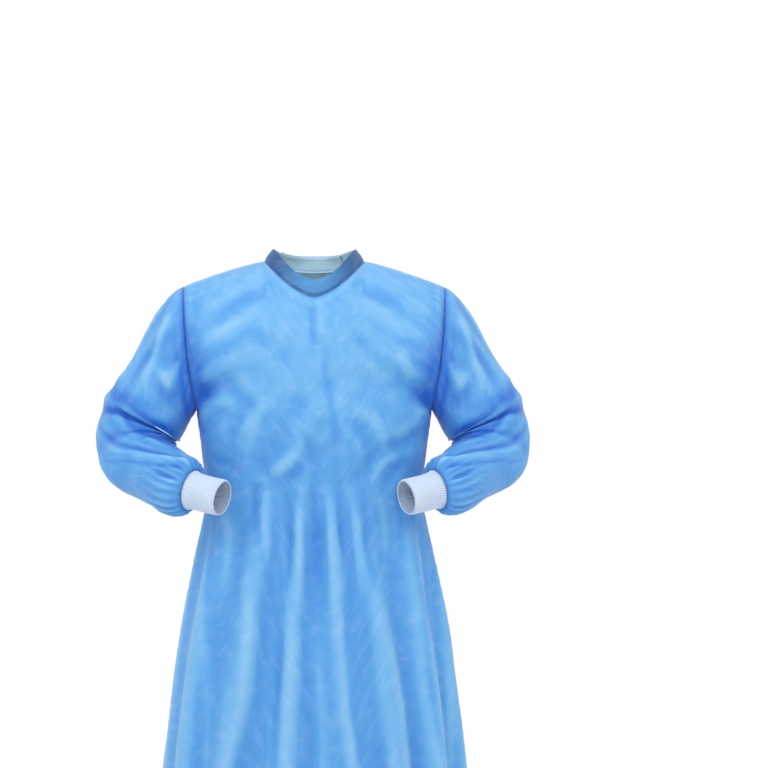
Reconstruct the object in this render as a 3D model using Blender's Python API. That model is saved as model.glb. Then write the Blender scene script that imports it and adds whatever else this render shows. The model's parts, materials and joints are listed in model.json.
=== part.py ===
"""Isolation gown, worn with the hands at the waist and the elbows out, hollow and open.

Metres, +Z up. The front of the gown faces -Y and +X is on the right of someone who looks at it.
The origin is halfway between the two points where the shoulder seams meet the neck band.
A drop is a distance below the origin. A turn is an angle round the body in degrees: 0 is the
centre of the front or of the back, and 90 is the side seam or the armhole.
"""
import math
from bisect import bisect_right
from collections import defaultdict, namedtuple

import bmesh
import bpy
from mathutils import Quaternion, Vector

# Cloth and seams
WALL = 0.0015
BAND_WALL = 0.002
KNIT_WALL = 0.002
SEAM_GAP = 0.0003
LONGEST_MITRE = 2.0

# Neck, shoulders and armholes
NECK_HALF_WIDTH = 0.095
NECK_DROP_FRONT = 0.072
NECK_DROP_BACK = 0.018
NECK_CURVE_FRONT = 1.6
NECK_CURVE_BACK = 2.2
NECK_RISE_INSIDE = 0.25
SHOULDER_HALF_WIDTH = 0.247
SHOULDER_DROP = 0.048
SHOULDER_CURVE = 1.25
SHOULDER_SETBACK = 0.004
ARMHOLE_DROP = 0.175
ARMHOLE_HALF_DEPTH = 0.080
UNDERARM_DROP = 0.280
ARM_SWEEP = 66.0
YOKE_ROUNDNESS = 1.7
ARMHOLE_FADE = 6.0
SQUARENESS = 0.84

# Waist and hem
WAIST_DROP = 0.440
HEM_DROP = 1.120

Section = namedtuple("Section", "drop half_width front back")
SECTIONS = (
    Section(drop=0.048, half_width=0.247, front=0.118, back=0.118),
    Section(drop=0.175, half_width=0.235, front=0.128, back=0.125),
    Section(drop=0.280, half_width=0.222, front=0.135, back=0.124),
    Section(drop=0.367, half_width=0.211, front=0.129, back=0.114),
    Section(drop=0.440, half_width=0.203, front=0.119, back=0.106),
    Section(drop=0.500, half_width=0.213, front=0.123, back=0.112),
    Section(drop=0.540, half_width=0.222, front=0.130, back=0.121),
    Section(drop=0.620, half_width=0.238, front=0.143, back=0.137),
    Section(drop=0.670, half_width=0.247, front=0.150, back=0.145),
    Section(drop=0.850, half_width=0.272, front=0.172, back=0.168),
    Section(drop=1.120, half_width=0.298, front=0.198, back=0.194),
)

# How far the skirt's folds stand in and out of the plain section
Fullness = namedtuple("Fullness", "drop height")
FULLNESS = (
    Fullness(drop=0.425, height=0.0000),
    Fullness(drop=0.460, height=0.0030),
    Fullness(drop=0.530, height=0.0085),
    Fullness(drop=0.620, height=0.0110),
    Fullness(drop=0.850, height=0.0150),
    Fullness(drop=1.120, height=0.0210),
)

# Ridges and troughs of the skirt, each a line that runs down from the waist
FoldLine = namedtuple("FoldLine", "at_waist at_hem height")
FRONT_FOLDS = (
    FoldLine(at_waist=-90.0, at_hem=-90.0, height=0.0),
    FoldLine(at_waist=-69.0, at_hem=-73.0, height=-0.7),
    FoldLine(at_waist=-52.0, at_hem=-57.0, height=0.8),
    FoldLine(at_waist=-38.0, at_hem=-46.0, height=-0.8),
    FoldLine(at_waist=-21.0, at_hem=-34.0, height=0.9),
    FoldLine(at_waist=-12.0, at_hem=-22.0, height=-1.0),
    FoldLine(at_waist=-5.0, at_hem=-10.0, height=0.8),
    FoldLine(at_waist=0.0, at_hem=0.5, height=-0.9),
    FoldLine(at_waist=5.5, at_hem=12.0, height=0.8),
    FoldLine(at_waist=12.5, at_hem=22.0, height=-0.8),
    FoldLine(at_waist=19.0, at_hem=32.0, height=0.7),
    FoldLine(at_waist=35.0, at_hem=41.0, height=-1.0),
    FoldLine(at_waist=48.5, at_hem=53.0, height=0.9),
    FoldLine(at_waist=60.0, at_hem=66.0, height=-0.7),
    FoldLine(at_waist=76.0, at_hem=79.0, height=0.5),
    FoldLine(at_waist=90.0, at_hem=90.0, height=0.0),
)
BACK_FOLDS = (
    FoldLine(at_waist=-90.0, at_hem=-90.0, height=0.0),
    FoldLine(at_waist=-75.0, at_hem=-78.0, height=0.6),
    FoldLine(at_waist=-62.0, at_hem=-67.0, height=-0.8),
    FoldLine(at_waist=-50.0, at_hem=-54.0, height=0.9),
    FoldLine(at_waist=-40.0, at_hem=-43.0, height=-0.9),
    FoldLine(at_waist=-29.0, at_hem=-33.0, height=0.7),
    FoldLine(at_waist=-19.0, at_hem=-23.0, height=-0.8),
    FoldLine(at_waist=-7.0, at_hem=-9.0, height=0.5),
    FoldLine(at_waist=5.0, at_hem=6.0, height=-0.6),
    FoldLine(at_waist=15.0, at_hem=18.0, height=0.6),
    FoldLine(at_waist=26.0, at_hem=29.0, height=-0.9),
    FoldLine(at_waist=37.0, at_hem=41.0, height=0.9),
    FoldLine(at_waist=49.0, at_hem=52.0, height=-0.8),
    FoldLine(at_waist=60.0, at_hem=64.0, height=0.9),
    FoldLine(at_waist=73.0, at_hem=77.0, height=-0.6),
    FoldLine(at_waist=90.0, at_hem=90.0, height=0.0),
)

# Soft folds that drag across the front from the hands, each a line with a width
DragFold = namedtuple("DragFold", "x drop to_x to_drop width height")
DRAG_FOLDS = (
    DragFold(x=-0.095, drop=0.385, to_x=-0.030, to_drop=0.270, width=0.020, height=-0.007),
    DragFold(x=-0.060, drop=0.392, to_x=0.002, to_drop=0.285, width=0.022, height=0.005),
    DragFold(x=0.095, drop=0.400, to_x=0.185, to_drop=0.325, width=0.022, height=-0.007),
    DragFold(x=0.020, drop=0.170, to_x=0.016, to_drop=0.410, width=0.022, height=-0.003),
)
DRAG_SEAM_MARGIN = 20.0

# Sleeve: it runs down and out from the armhole, bends round a pivot at the inner elbow, and comes
# forward to the cuff. Directions are for the sleeve at +X, and the other one is its mirror image.
UPPER_ARM = Vector((0.607, 0.050, -0.793)).normalized()
FOREARM = Vector((-0.615, -0.710, -0.345)).normalized()
CUFF_WAY = Vector((-0.880, -0.430, -0.200)).normalized()
SLEEVE_CAP_WAY = Vector((0.880, 0.000, -0.475)).normalized()
ELBOW_PIVOT = Vector((0.270, -0.040, -0.329))
ELBOW_PIVOT_GAP = 0.0075
CREASE_ALL_ROUND = 0.3
UPPER_STEPS = (0.0, 0.10, 0.24, 0.40, 0.58, 0.78, 1.0)

ElbowRing = namedtuple("ElbowRing", "share across deep crease")
ELBOW_RINGS = (
    ElbowRing(share=0.00, across=0.0790, deep=0.074, crease=0.002),
    ElbowRing(share=0.09, across=0.0785, deep=0.074, crease=0.004),
    ElbowRing(share=0.19, across=0.0770, deep=0.072, crease=-0.009),
    ElbowRing(share=0.29, across=0.0775, deep=0.072, crease=0.001),
    ElbowRing(share=0.42, across=0.0765, deep=0.071, crease=0.003),
    ElbowRing(share=0.56, across=0.0745, deep=0.069, crease=-0.003),
    ElbowRing(share=0.70, across=0.0710, deep=0.067, crease=0.001),
    ElbowRing(share=0.85, across=0.0660, deep=0.063, crease=0.001),
    ElbowRing(share=1.00, across=0.0615, deep=0.060, crease=-0.001),
)

ForearmRing = namedtuple("ForearmRing", "along share radius gather")
FOREARM_RINGS = (
    ForearmRing(along=0.024, share=0.0, radius=0.0585, gather=0.0000),
    ForearmRing(along=0.048, share=0.0, radius=0.0575, gather=0.0000),
    ForearmRing(along=0.072, share=0.1, radius=0.0570, gather=0.0005),
    ForearmRing(along=0.092, share=0.3, radius=0.0570, gather=0.0012),
    ForearmRing(along=0.107, share=0.6, radius=0.0540, gather=0.0022),
    ForearmRing(along=0.116, share=0.9, radius=0.0465, gather=0.0030),
    ForearmRing(along=0.121, share=1.0, radius=0.0368, gather=0.0010),
)

# Knitted cuff
CUFF_RIBS = 48
CUFF_RIB_HEIGHT = 0.0006
CuffRing = namedtuple("CuffRing", "along radius")
CUFF_RINGS = (
    CuffRing(along=0.000, radius=0.0362),
    CuffRing(along=0.012, radius=0.0330),
    CuffRing(along=0.065, radius=0.0325),
)

# Neck band: how far its top edge stands in from the neckline and above it
BandSize = namedtuple("BandSize", "inward rise")
BAND_FRONT = BandSize(inward=0.012, rise=0.032)
BAND_SIDE = BandSize(inward=0.0165, rise=0.0235)
BAND_BACK = BandSize(inward=0.006, rise=0.030)
BAND_BULGE = 0.0015

# Lap of the back panels and the waist ties
LAP_RISE = 0.0028
LAP_UNDER_EDGE = 3
LAP_OVER_EDGE = -4
LAP_RAMP = 2
TIE_WIDTH = 0.028
TIE_WALL = 0.0015
KNOT_HALF = Vector((0.015, 0.0085, 0.019))
KNOT_SQUARENESS = 0.5
KNOT_SLICES = 6
KNOT_SPOKES = 12
BOW_LENGTH = 0.085
BOW_DROOP = 28.0
BOW_LEAN = 0.16
BOW_NEAR = 0.0035
BOW_FAR = 0.0125
BOW_PUFF = 0.004
BOW_UNDER_SHARES = (0.0, 0.3, 0.6, 0.85)
BOW_OVER_SHARES = (0.8, 0.5, 0.2, 0.0)
BOW_END_STEPS = 6
TAIL_LENGTH = 0.230
TAIL_SPREAD = 0.034
TAIL_CLEARANCE = 0.0040
TAIL_STEPS = 8

# Counts of columns and rows
NECK_STEPS = 6
NECK_CROWDING = 0.6
SHOULDER_STEPS = 9
COLUMNS = NECK_STEPS + SHOULDER_STEPS
YOKE_ROWS = 7
ARMHOLE_ROWS = 5
ARMHOLE_CROWDING = 0.6
TORSO_DROPS = (0.315, 0.350, 0.388)
SKIRT_DROPS = (0.490, 0.530, 0.590, 0.680, 0.790, 0.900, 1.010, 1.120)
BAND_ROWS = 2

# How often a value is found again from its last guess, and the angle at which shading breaks
DROP_GUESSES = 6
RISE_HALVINGS = 40
SHARP_ANGLE = 50.0

FRONT = -1
BACK = 1

Finish = namedtuple("Finish", "colour roughness")
GOWN_CLOTH = Finish(colour=(0.22, 0.53, 0.90, 1.0), roughness=0.62)
BAND_CLOTH = Finish(colour=(0.09, 0.34, 0.68, 1.0), roughness=0.62)
CUFF_KNIT = Finish(colour=(0.70, 0.80, 0.93, 1.0), roughness=0.85)
TIE_CLOTH = Finish(colour=(0.20, 0.50, 0.88, 1.0), roughness=0.62)


def clear_scene():
    """Removes what the scene holds."""
    for item in list(bpy.data.objects):
        bpy.data.objects.remove(item, do_unlink=True)


def ease(value):
    """Goes from 0 to 1 with a soft start and end."""
    value = min(1.0, max(0.0, value))
    return value * value * (3 - 2 * value)


def blend(first, second, share):
    """Goes in a straight line from the first value to the second."""
    return first + (second - first) * share


def curve_through(places, values, place):
    """Reads a smooth curve through table values, held level past both ends of the table."""
    if place <= places[0]:
        return values[0]
    if place >= places[-1]:
        return values[-1]
    rises = [(values[k + 1] - values[k]) / (places[k + 1] - places[k]) for k in range(len(places) - 1)]

    def slope(k):
        if k in (0, len(rises)):
            return rises[min(k, len(rises) - 1)]
        before, after = rises[k - 1], rises[k]
        return 2 * before * after / (before + after) if before * after > 0 else 0.0

    k = bisect_right(places, place) - 1
    span = places[k + 1] - places[k]
    share = (place - places[k]) / span
    bend = (slope(k) * (1 - share) - slope(k + 1) * share) * span * share * (1 - share)
    swing = rises[k] * span * share * (1 - share) * (1 - 2 * share)
    return blend(values[k], values[k + 1], share) + bend - swing


def read_table(table, column, drop):
    """Reads one column of a table at a drop."""
    return curve_through([row.drop for row in table], [getattr(row, column) for row in table], drop)


def half_width(drop):
    """Half the gown's width at a drop."""
    return read_table(SECTIONS, "half_width", drop)


def body_depth(drop, side):
    """How far the centre of the front or the back is from the middle plane."""
    return read_table(SECTIONS, "front" if side == FRONT else "back", drop)


def armhole_share(drop):
    """Share of the way from the armhole level down to the underarm."""
    return min(1.0, max(0.0, (drop - ARMHOLE_DROP) / (UNDERARM_DROP - ARMHOLE_DROP)))


def armhole_half_depth(drop):
    """How far the armhole's edge is from the middle plane, down to nothing at the underarm."""
    return ARMHOLE_HALF_DEPTH * math.sqrt(1 - armhole_share(drop) ** 2)


def sweep_at(drop):
    """Degrees of an oval that a quarter section takes: all 90 under the arm, fewer beside it."""
    return blend(ARM_SWEEP, 90.0, ease(armhole_share(drop)))


def spread(turn, sweep):
    """Shares of the half width and of the depth that a turn reaches."""
    edge = math.radians(sweep)
    angle = edge * abs(turn) / 90
    across = (math.sin(angle) / math.sin(edge)) ** SQUARENESS
    deep = (math.cos(angle) - math.cos(edge)) / (1 - math.cos(edge))
    return math.copysign(across, turn), deep


def line_turn(line, drop):
    """Turn of a skirt fold at a drop."""
    return blend(line.at_waist, line.at_hem, max(0.0, (drop - WAIST_DROP) / (HEM_DROP - WAIST_DROP)))


def pleat_height(turn, drop, side):
    """How far the skirt's folds stand out at a place."""
    fullness = read_table(FULLNESS, "height", drop)
    lines = FRONT_FOLDS if side == FRONT else BACK_FOLDS
    turns = [line_turn(line, drop) for line in lines]
    k = min(len(lines) - 2, max(0, bisect_right(turns, turn) - 1))
    share = (turn - turns[k]) / (turns[k + 1] - turns[k])
    swing = (1 - math.cos(math.pi * share)) / 2
    return fullness * blend(lines[k].height, lines[k + 1].height, swing)


def drag_height(x, turn, drop, side):
    """How far the drag folds of the front stand out at a place."""
    if side == BACK:
        return 0.0
    total = 0.0
    for fold in DRAG_FOLDS:
        along = Vector((fold.to_x - fold.x, fold.to_drop - fold.drop))
        offset = Vector((x - fold.x, drop - fold.drop))
        share = min(1.0, max(0.0, offset.dot(along) / along.length_squared))
        away = (offset - along * share).length
        total += fold.height * math.exp(-((away / fold.width) ** 2))
    return total * ease((90 - abs(turn)) / DRAG_SEAM_MARGIN)


def body_point(turn, drop, side):
    """A point of the front or back from the armhole level down."""
    across, deep = spread(turn, sweep_at(drop))
    width = half_width(drop)
    depth = body_depth(drop, side)
    near_seam = (1 - deep) ** (1 + ARMHOLE_FADE * armhole_share(drop) ** 3)
    x = across * width
    y = side * (depth * deep + armhole_half_depth(drop) * near_seam)
    out = Vector((x / width ** 2, y / depth ** 2, 0)).normalized()
    lift = pleat_height(turn, drop, side) + drag_height(x, turn, drop, side)
    return Vector((x, y, -drop)) + out * lift


def ridge_drop(x):
    """Drop of the shoulder line, carried on over the neck opening."""
    beyond = abs(x) - NECK_HALF_WIDTH
    if beyond < 0:
        return beyond * NECK_RISE_INSIDE
    return SHOULDER_DROP * (beyond / (SHOULDER_HALF_WIDTH - NECK_HALF_WIDTH)) ** SHOULDER_CURVE


def yoke_point(turn, rise, side):
    """A point above the armhole level: rise 0 is that level and 90 is the shoulder line."""
    across, deep = spread(turn, ARM_SWEEP)
    level_depth = blend(ARMHOLE_HALF_DEPTH, body_depth(ARMHOLE_DROP, side), deep)
    up = math.sin(math.radians(rise)) ** (2 / YOKE_ROUNDNESS)
    inward = max(0.0, math.cos(math.radians(rise))) ** (2 / YOKE_ROUNDNESS)
    drop = ARMHOLE_DROP
    for _ in range(DROP_GUESSES):
        drop = blend(ARMHOLE_DROP, ridge_drop(across * half_width(drop)), up)
    y = blend(SHOULDER_SETBACK, side * level_depth, inward)
    return Vector((across * half_width(drop), y, -drop))


def neckline_drop(x, side):
    """Drop of the neckline at a distance from the centre."""
    share = min(1.0, abs(x) / NECK_HALF_WIDTH)
    if side == FRONT:
        return NECK_DROP_FRONT * (1 - share ** NECK_CURVE_FRONT)
    return NECK_DROP_BACK * (1 - share ** NECK_CURVE_BACK)


def top_rise(turn, side):
    """The rise at which a column ends: at the shoulder line, or at the neckline before it."""
    top = yoke_point(turn, 90.0, side)
    if abs(top.x) > NECK_HALF_WIDTH - 1e-6:
        return 90.0
    low, high = 0.0, 90.0
    for _ in range(RISE_HALVINGS):
        middle = (low + high) / 2
        point = yoke_point(turn, middle, side)
        if -point.z > neckline_drop(point.x, side):
            low = middle
        else:
            high = middle
    return low


def shoulder_turn(index):
    """Turn of a column above the armhole level: even along the shoulder, crowded beside the neck."""
    step = abs(index)
    if step <= NECK_STEPS:
        share = step / NECK_STEPS
        x = NECK_HALF_WIDTH * blend(share, math.sin(math.pi / 2 * share), NECK_CROWDING)
    else:
        x = blend(NECK_HALF_WIDTH, SHOULDER_HALF_WIDTH, (step - NECK_STEPS) / SHOULDER_STEPS)
    reach = (x / SHOULDER_HALF_WIDTH) ** (1 / SQUARENESS)
    edge = math.radians(ARM_SWEEP)
    return math.copysign(90 * math.asin(reach * math.sin(edge)) / edge, index)


def column_turn(index, drop, side):
    """Turn of a column at a drop: from the waist down, each odd column runs along a fold line."""
    lines = FRONT_FOLDS if side == FRONT else BACK_FOLDS
    place = (index + COLUMNS) / 2
    first = min(int(place), len(lines) - 2)
    folded = blend(line_turn(lines[first], drop), line_turn(lines[first + 1], drop), place - first)
    share = ease((drop - ARMHOLE_DROP) / (WAIST_DROP - ARMHOLE_DROP))
    return blend(shoulder_turn(index), folded, share)


def body_drops():
    """Drops of the rows from the armhole level down to the hem."""
    beside = []
    for k in range(ARMHOLE_ROWS):
        share = k / ARMHOLE_ROWS
        crowded = blend(share, math.sin(math.pi / 2 * share), ARMHOLE_CROWDING)
        beside.append(blend(ARMHOLE_DROP, UNDERARM_DROP, crowded))
    tie = [WAIST_DROP - TIE_WIDTH / 2, WAIST_DROP + TIE_WIDTH / 2]
    return beside + [UNDERARM_DROP] + list(TORSO_DROPS) + tie + list(SKIRT_DROPS)


UNDERARM_ROW = YOKE_ROWS + ARMHOLE_ROWS
TIE_TOP_ROW = UNDERARM_ROW + len(TORSO_DROPS) + 1


class Piece:
    """A cut piece of cloth as rows of outer points, and the inner points a wall's thickness away."""

    def __init__(self, name, outer, wall, finish, outward, closed=False, centre=None):
        self.name = name
        self.outer = outer
        self.sewn = outer
        self.inner = None
        self.wall = wall
        self.finish = finish
        self.outward = outward
        self.closed = closed
        self.centre = centre
        self.normals = self.face_ways()

    def triangles(self):
        """Index triples of the grid, split along diagonals that mirror each other at the centre."""
        columns = len(self.outer[0])
        last = columns if self.closed else columns - 1
        for row in range(len(self.outer) - 1):
            for column in range(last):
                right = (column + 1) % columns
                if self.centre is None or column < self.centre:
                    yield (row, column), (row + 1, column), (row + 1, right)
                    yield (row, column), (row + 1, right), (row, right)
                else:
                    yield (row, column), (row + 1, column), (row, right)
                    yield (row, right), (row + 1, column), (row + 1, right)

    def face_ways(self):
        """Outward direction of the cloth at each point."""
        ways = [[Vector() for _ in row] for row in self.outer]
        for corners in self.triangles():
            first, second, third = (self.outer[row][column] for row, column in corners)
            way = (second - first).cross(third - first) * self.outward
            for row, column in corners:
                ways[row][column] += way
        return [[way.normalized() for way in row] for row in ways]

    def move_out(self, amounts):
        """Moves each column out by its amount and finds the directions again."""
        for points, ways in zip(self.outer, self.normals):
            for column, amount in enumerate(amounts):
                points[column] = points[column] + ways[column] * amount
        self.normals = self.face_ways()


def share_seams(pieces):
    """Gives pieces that meet along a seam the same wall direction there, and makes the inner points."""
    meeting = defaultdict(list)
    for piece in pieces:
        for points, ways in zip(piece.outer, piece.normals):
            for point, way in zip(points, ways):
                meeting[point.to_tuple(6)].append(way)
    for piece in pieces:
        piece.inner = []
        piece.sewn = [list(points) for points in piece.outer]
        for points in piece.outer:
            row = []
            for point in points:
                ways = meeting[point.to_tuple(6)]
                mean = sum(ways, Vector()).normalized()
                mitre = min(LONGEST_MITRE, 1 / max(0.01, min(mean.dot(way) for way in ways)))
                row.append(point - mean * (piece.wall * mitre))
            piece.inner.append(row)


def part_from_seam(piece, edge, inside):
    """Draws a seam edge back along its own cloth, so that the pieces stay a seam gap apart."""
    moves = []
    for place, (row, column) in enumerate(edge):
        in_row, in_column = inside[place]
        here = piece.outer[row][column]
        back = (piece.outer[in_row][in_column] - here).normalized()
        before = edge[max(0, place - 1)]
        after = edge[min(len(edge) - 1, place + 1)]
        along = piece.outer[after[0]][after[1]] - piece.outer[before[0]][before[1]]
        across = along.cross(here - piece.inner[row][column]).normalized()
        moves.append(back * (SEAM_GAP / max(0.3, abs(back.dot(across)))))
    for (row, column), move in zip(edge, moves):
        piece.outer[row][column] = piece.outer[row][column] + move
        piece.inner[row][column] = piece.inner[row][column] + move


def paint(item, finish):
    """Gives an object a material of its own."""
    material = bpy.data.materials.new(item.name)
    material.use_nodes = True
    shader = material.node_tree.nodes["Principled BSDF"]
    shader.inputs["Base Color"].default_value = finish.colour
    shader.inputs["Roughness"].default_value = finish.roughness
    shader.inputs["Metallic"].default_value = 0.0
    item.data.materials.append(material)


def make_object(name, vertices, faces, finish):
    """Makes one closed solid with its faces pointing out."""
    mesh = bpy.data.meshes.new(name)
    mesh.from_pydata([tuple(vertex) for vertex in vertices], [], faces)
    work = bmesh.new()
    work.from_mesh(mesh)
    bmesh.ops.recalc_face_normals(work, faces=work.faces)
    work.to_mesh(mesh)
    work.free()
    mesh.shade_smooth()
    mesh.set_sharp_from_angle(angle=math.radians(SHARP_ANGLE))
    item = bpy.data.objects.new(name, mesh)
    bpy.context.scene.collection.objects.link(item)
    paint(item, finish)
    return item


def make_wall(piece):
    """Closes a piece's outer and inner points into a solid wall."""
    rows = len(piece.outer)
    columns = len(piece.outer[0])
    inner_start = rows * columns
    vertices = [point for row in piece.outer for point in row]
    vertices += [point for row in piece.inner for point in row]

    def number(row, column, inner=0):
        return inner * inner_start + row * columns + column % columns

    faces = []
    for corners in piece.triangles():
        faces.append([number(row, column) for row, column in corners])
        faces.append([number(row, column, 1) for row, column in reversed(corners)])
    last = columns if piece.closed else columns - 1
    rims = []
    for row in (0, rows - 1):
        rims += [((row, column), (row, column + 1)) for column in range(last)]
    if not piece.closed:
        for column in (0, columns - 1):
            rims += [((row, column), (row + 1, column)) for row in range(rows - 1)]

    def seam_order(place):
        point = piece.sewn[place[0]][place[1] % columns]
        return round(point.z, 6), round(abs(point.x), 6), round(point.y, 6)

    for ends in rims:
        first, second = sorted(ends, key=seam_order)
        corner, along = number(*first), number(*second)
        under, under_along = number(*first, 1), number(*second, 1)
        faces.append([corner, along, under_along])
        faces.append([corner, under_along, under])
    return make_object(piece.name, vertices, faces, piece.finish)


def body_panel(name, side, first, last):
    """A front or back panel from one column to another, neckline and shoulder down to the hem."""
    indexes = range(first, last + 1)
    rows = []
    for step in range(YOKE_ROWS, 0, -1):
        row = []
        for index in indexes:
            turn = shoulder_turn(index)
            row.append(yoke_point(turn, top_rise(turn, side) * step / YOKE_ROWS, side))
        rows.append(row)
    for drop in body_drops():
        rows.append([body_point(column_turn(index, drop, side), drop, side) for index in indexes])
    return Piece(name, rows, WALL, GOWN_CLOTH, outward=-side, centre=-first)


def lap_lift(index):
    """How far the upper layer of the lap is moved out at a column of the back."""
    return LAP_RISE * ease((LAP_UNDER_EDGE + 1 + LAP_RAMP - index) / LAP_RAMP)


def armhole_ring(front, back):
    """The armhole at +X, from the underarm up the front to the shoulder and down the back."""
    ring = [front.outer[row][-1] for row in range(UNDERARM_ROW, -1, -1)]
    ring += [back.outer[row][-1] for row in range(1, UNDERARM_ROW)]
    return ring


def ring_shares(ring):
    """Share of the way round at each point of a closed ring."""
    steps = [(ring[k] - ring[k - 1]).length for k in range(len(ring))]
    total = sum(steps)
    shares = [0.0]
    for step in steps[1:]:
        shares.append(shares[-1] + step / total)
    return shares


def elbow_frame(share):
    """Outer direction, side direction and way along the sleeve at a share of the elbow's bend."""
    outer = -(FOREARM - UPPER_ARM * FOREARM.dot(UPPER_ARM)).normalized()
    side = outer.cross(UPPER_ARM)
    bend = UPPER_ARM.angle(FOREARM)
    if (Quaternion(side, bend) @ UPPER_ARM - FOREARM).length > 0.01:
        bend = -bend
    turn = Quaternion(side, bend * share)
    return turn @ outer, side, turn @ UPPER_ARM


def sleeve_layout():
    """Centres and directions of the sleeve's rings from the elbow to the cuff seam."""
    rings = []
    for row in ELBOW_RINGS:
        outer, side, way = elbow_frame(row.share)
        centre = ELBOW_PIVOT + outer * (ELBOW_PIVOT_GAP + row.across)
        rings.append((centre, outer, side, way, row.across, row.deep, row.crease, 0.0))
    centre, outer, side, way = rings[-1][:4]
    full = FOREARM.rotation_difference(CUFF_WAY)
    along = 0.0
    for row in FOREARM_RINGS:
        turn = Quaternion().slerp(full, row.share)
        centre = centre + (turn @ FOREARM) * (row.along - along)
        along = row.along
        ring = (centre, turn @ outer, turn @ side, turn @ FOREARM, row.radius, row.radius, 0.0, row.gather)
        rings.append(ring)
    return rings


def sleeve_piece(name, ring):
    """The sleeve at +X: from the armhole to the elbow, round it and along to the cuff."""
    layout = sleeve_layout()
    first_outer, first_side, first_way = layout[0][1:4]
    top = Vector((-first_way.z, 0, first_way.x))
    top = (top - first_way * top.dot(first_way)).normalized()
    front = top.cross(first_way)
    front = front if front.y < 0 else -front
    radials = []
    for share in ring_shares(ring):
        angle = 2 * math.pi * share
        radials.append(front * math.sin(angle) - top * math.cos(angle))
    rounds = [(radial.dot(first_outer), radial.dot(first_side)) for radial in radials]

    rows = []
    for centre, outer, side, _, across, deep, crease, gather in layout:
        row = []
        for k, (share_out, share_side) in enumerate(rounds):
            radial = outer * share_out + side * share_side
            near_hand = max(-share_out, -radial.y, 0.0)
            lift = crease * blend(CREASE_ALL_ROUND, 1.0, near_hand) + gather * (-1) ** k
            row.append(centre + outer * (across * share_out) + side * (deep * share_side) + radial * lift)
        rows.append(row)

    upper = []
    for step in UPPER_STEPS[:-1]:
        row = []
        for k, start in enumerate(ring):
            end = rows[0][k]
            reach = (end - start).length / 3
            raised = max(0.0, radials[k].dot(top))
            leave = (UPPER_ARM * (1 - raised) + SLEEVE_CAP_WAY * raised).normalized()
            near, far = start + leave * reach, end - UPPER_ARM * reach
            rest = 1 - step
            row.append(start * rest ** 3 + near * (3 * rest * rest * step)
                       + far * (3 * rest * step * step) + end * step ** 3)
        upper.append(row)
    return Piece(name, upper + rows, WALL, GOWN_CLOTH, outward=1, closed=True)


def cuff_piece(name):
    """The knitted cuff at +X, its ribs raised on a plain inside."""
    centre, outer, side, way = sleeve_layout()[-1][:4]
    points = 2 * CUFF_RIBS
    rows, inside = [], []
    for ring in CUFF_RINGS:
        middle = centre + way * (SEAM_GAP + ring.along)
        row, inner = [], []
        for k in range(points):
            angle = 2 * math.pi * k / points
            radial = outer * math.cos(angle) + side * math.sin(angle)
            row.append(middle + radial * (ring.radius + CUFF_RIB_HEIGHT * (-1) ** k))
            inner.append(middle + radial * (ring.radius - KNIT_WALL))
        rows.append(row)
        inside.append(inner)
    piece = Piece(name, rows, KNIT_WALL, CUFF_KNIT, outward=1, closed=True)
    piece.inner = inside
    return piece


def mirrored(piece, name):
    """The same piece on the other side of the body."""
    def flip(rows):
        return [[Vector((-point.x, point.y, point.z)) for point in row] for row in rows]

    other = Piece(name, flip(piece.outer), piece.wall, piece.finish, -piece.outward, piece.closed)
    if piece.inner:
        other.inner = flip(piece.inner)
    return other


def band_size(point, middle):
    """Size of the neck band beside a point of the neckline."""
    way = (point - middle)
    to_side = abs(way.x) / math.hypot(way.x, way.y)
    centre = BAND_FRONT if way.y < 0 else BAND_BACK
    return [blend(centre[k], BAND_SIDE[k], ease(to_side)) for k in range(2)]


def neck_band(front, left, right):
    """The band, from its end under the lap, round the neck and back over that end."""
    line = list(reversed(left.outer[0][COLUMNS - NECK_STEPS:]))
    line += front.outer[0][COLUMNS - NECK_STEPS + 1:COLUMNS + NECK_STEPS]
    over = right.outer[0][:NECK_STEPS - LAP_OVER_EDGE + 1]
    line += list(reversed(over))
    middle = Vector((0, (front.outer[0][COLUMNS].y + left.outer[0][COLUMNS].y) / 2, 0))
    rows = []
    for step in range(BAND_ROWS, -1, -1):
        share = step / BAND_ROWS
        row = []
        for point in line:
            inward, rise = band_size(point, middle)
            out = Vector((point.x - middle.x, point.y - middle.y, 0)).normalized()
            bulge = BAND_BULGE * math.sin(math.pi * share)
            row.append(point + out * (bulge - inward * share) + Vector((0, 0, rise * share)))
        rows.append(row)
    return Piece("neck_band", rows, BAND_WALL, BAND_CLOTH, outward=1)


def tie_piece(name, panel, start, lifts):
    """A waist tie that lies on the back panel from the side seam to the knot."""
    step = 1 if start < 0 else -1
    indexes = list(range(start, 0, step))
    first_index = -COLUMNS if start < 0 else LAP_OVER_EDGE
    rows, inner = [], []
    for row in (TIE_TOP_ROW, TIE_TOP_ROW + 1):
        points, under = [], []
        for index in indexes + [0]:
            column = index - first_index
            base = panel.outer[row][column]
            way = panel.normals[row][column]
            points.append(base + way * (lifts(index) + SEAM_GAP + TIE_WALL))
            under.append(base + way * (lifts(index) + SEAM_GAP))
        reach = KNOT_HALF.x + 2 * SEAM_GAP
        for line in (points, under):
            last, before = line[-1], line[-2]
            share = (reach + step * last.x) / (step * last.x - step * before.x)
            line[-1] = blend(last, before, share)
        rows.append(points)
        inner.append(under)
    piece = Piece(name, rows, TIE_WALL, TIE_CLOTH, outward=-step)
    piece.inner = inner
    return piece


def ribbon(name, path, widths, ways):
    """A flat strip along a path, with the direction of its width and of its outer face at each point."""
    half = TIE_WIDTH / 2
    outer, inner = [], []
    for edge in (1, -1):
        outer.append([point + width * (half * edge) for point, width in zip(path, widths)])
        inner.append([point + width * (half * edge) - way * TIE_WALL
                      for point, width, way in zip(path, widths, ways)])
    piece = Piece(name, outer, TIE_WALL, TIE_CLOTH, outward=1)
    piece.inner = inner
    return piece


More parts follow.
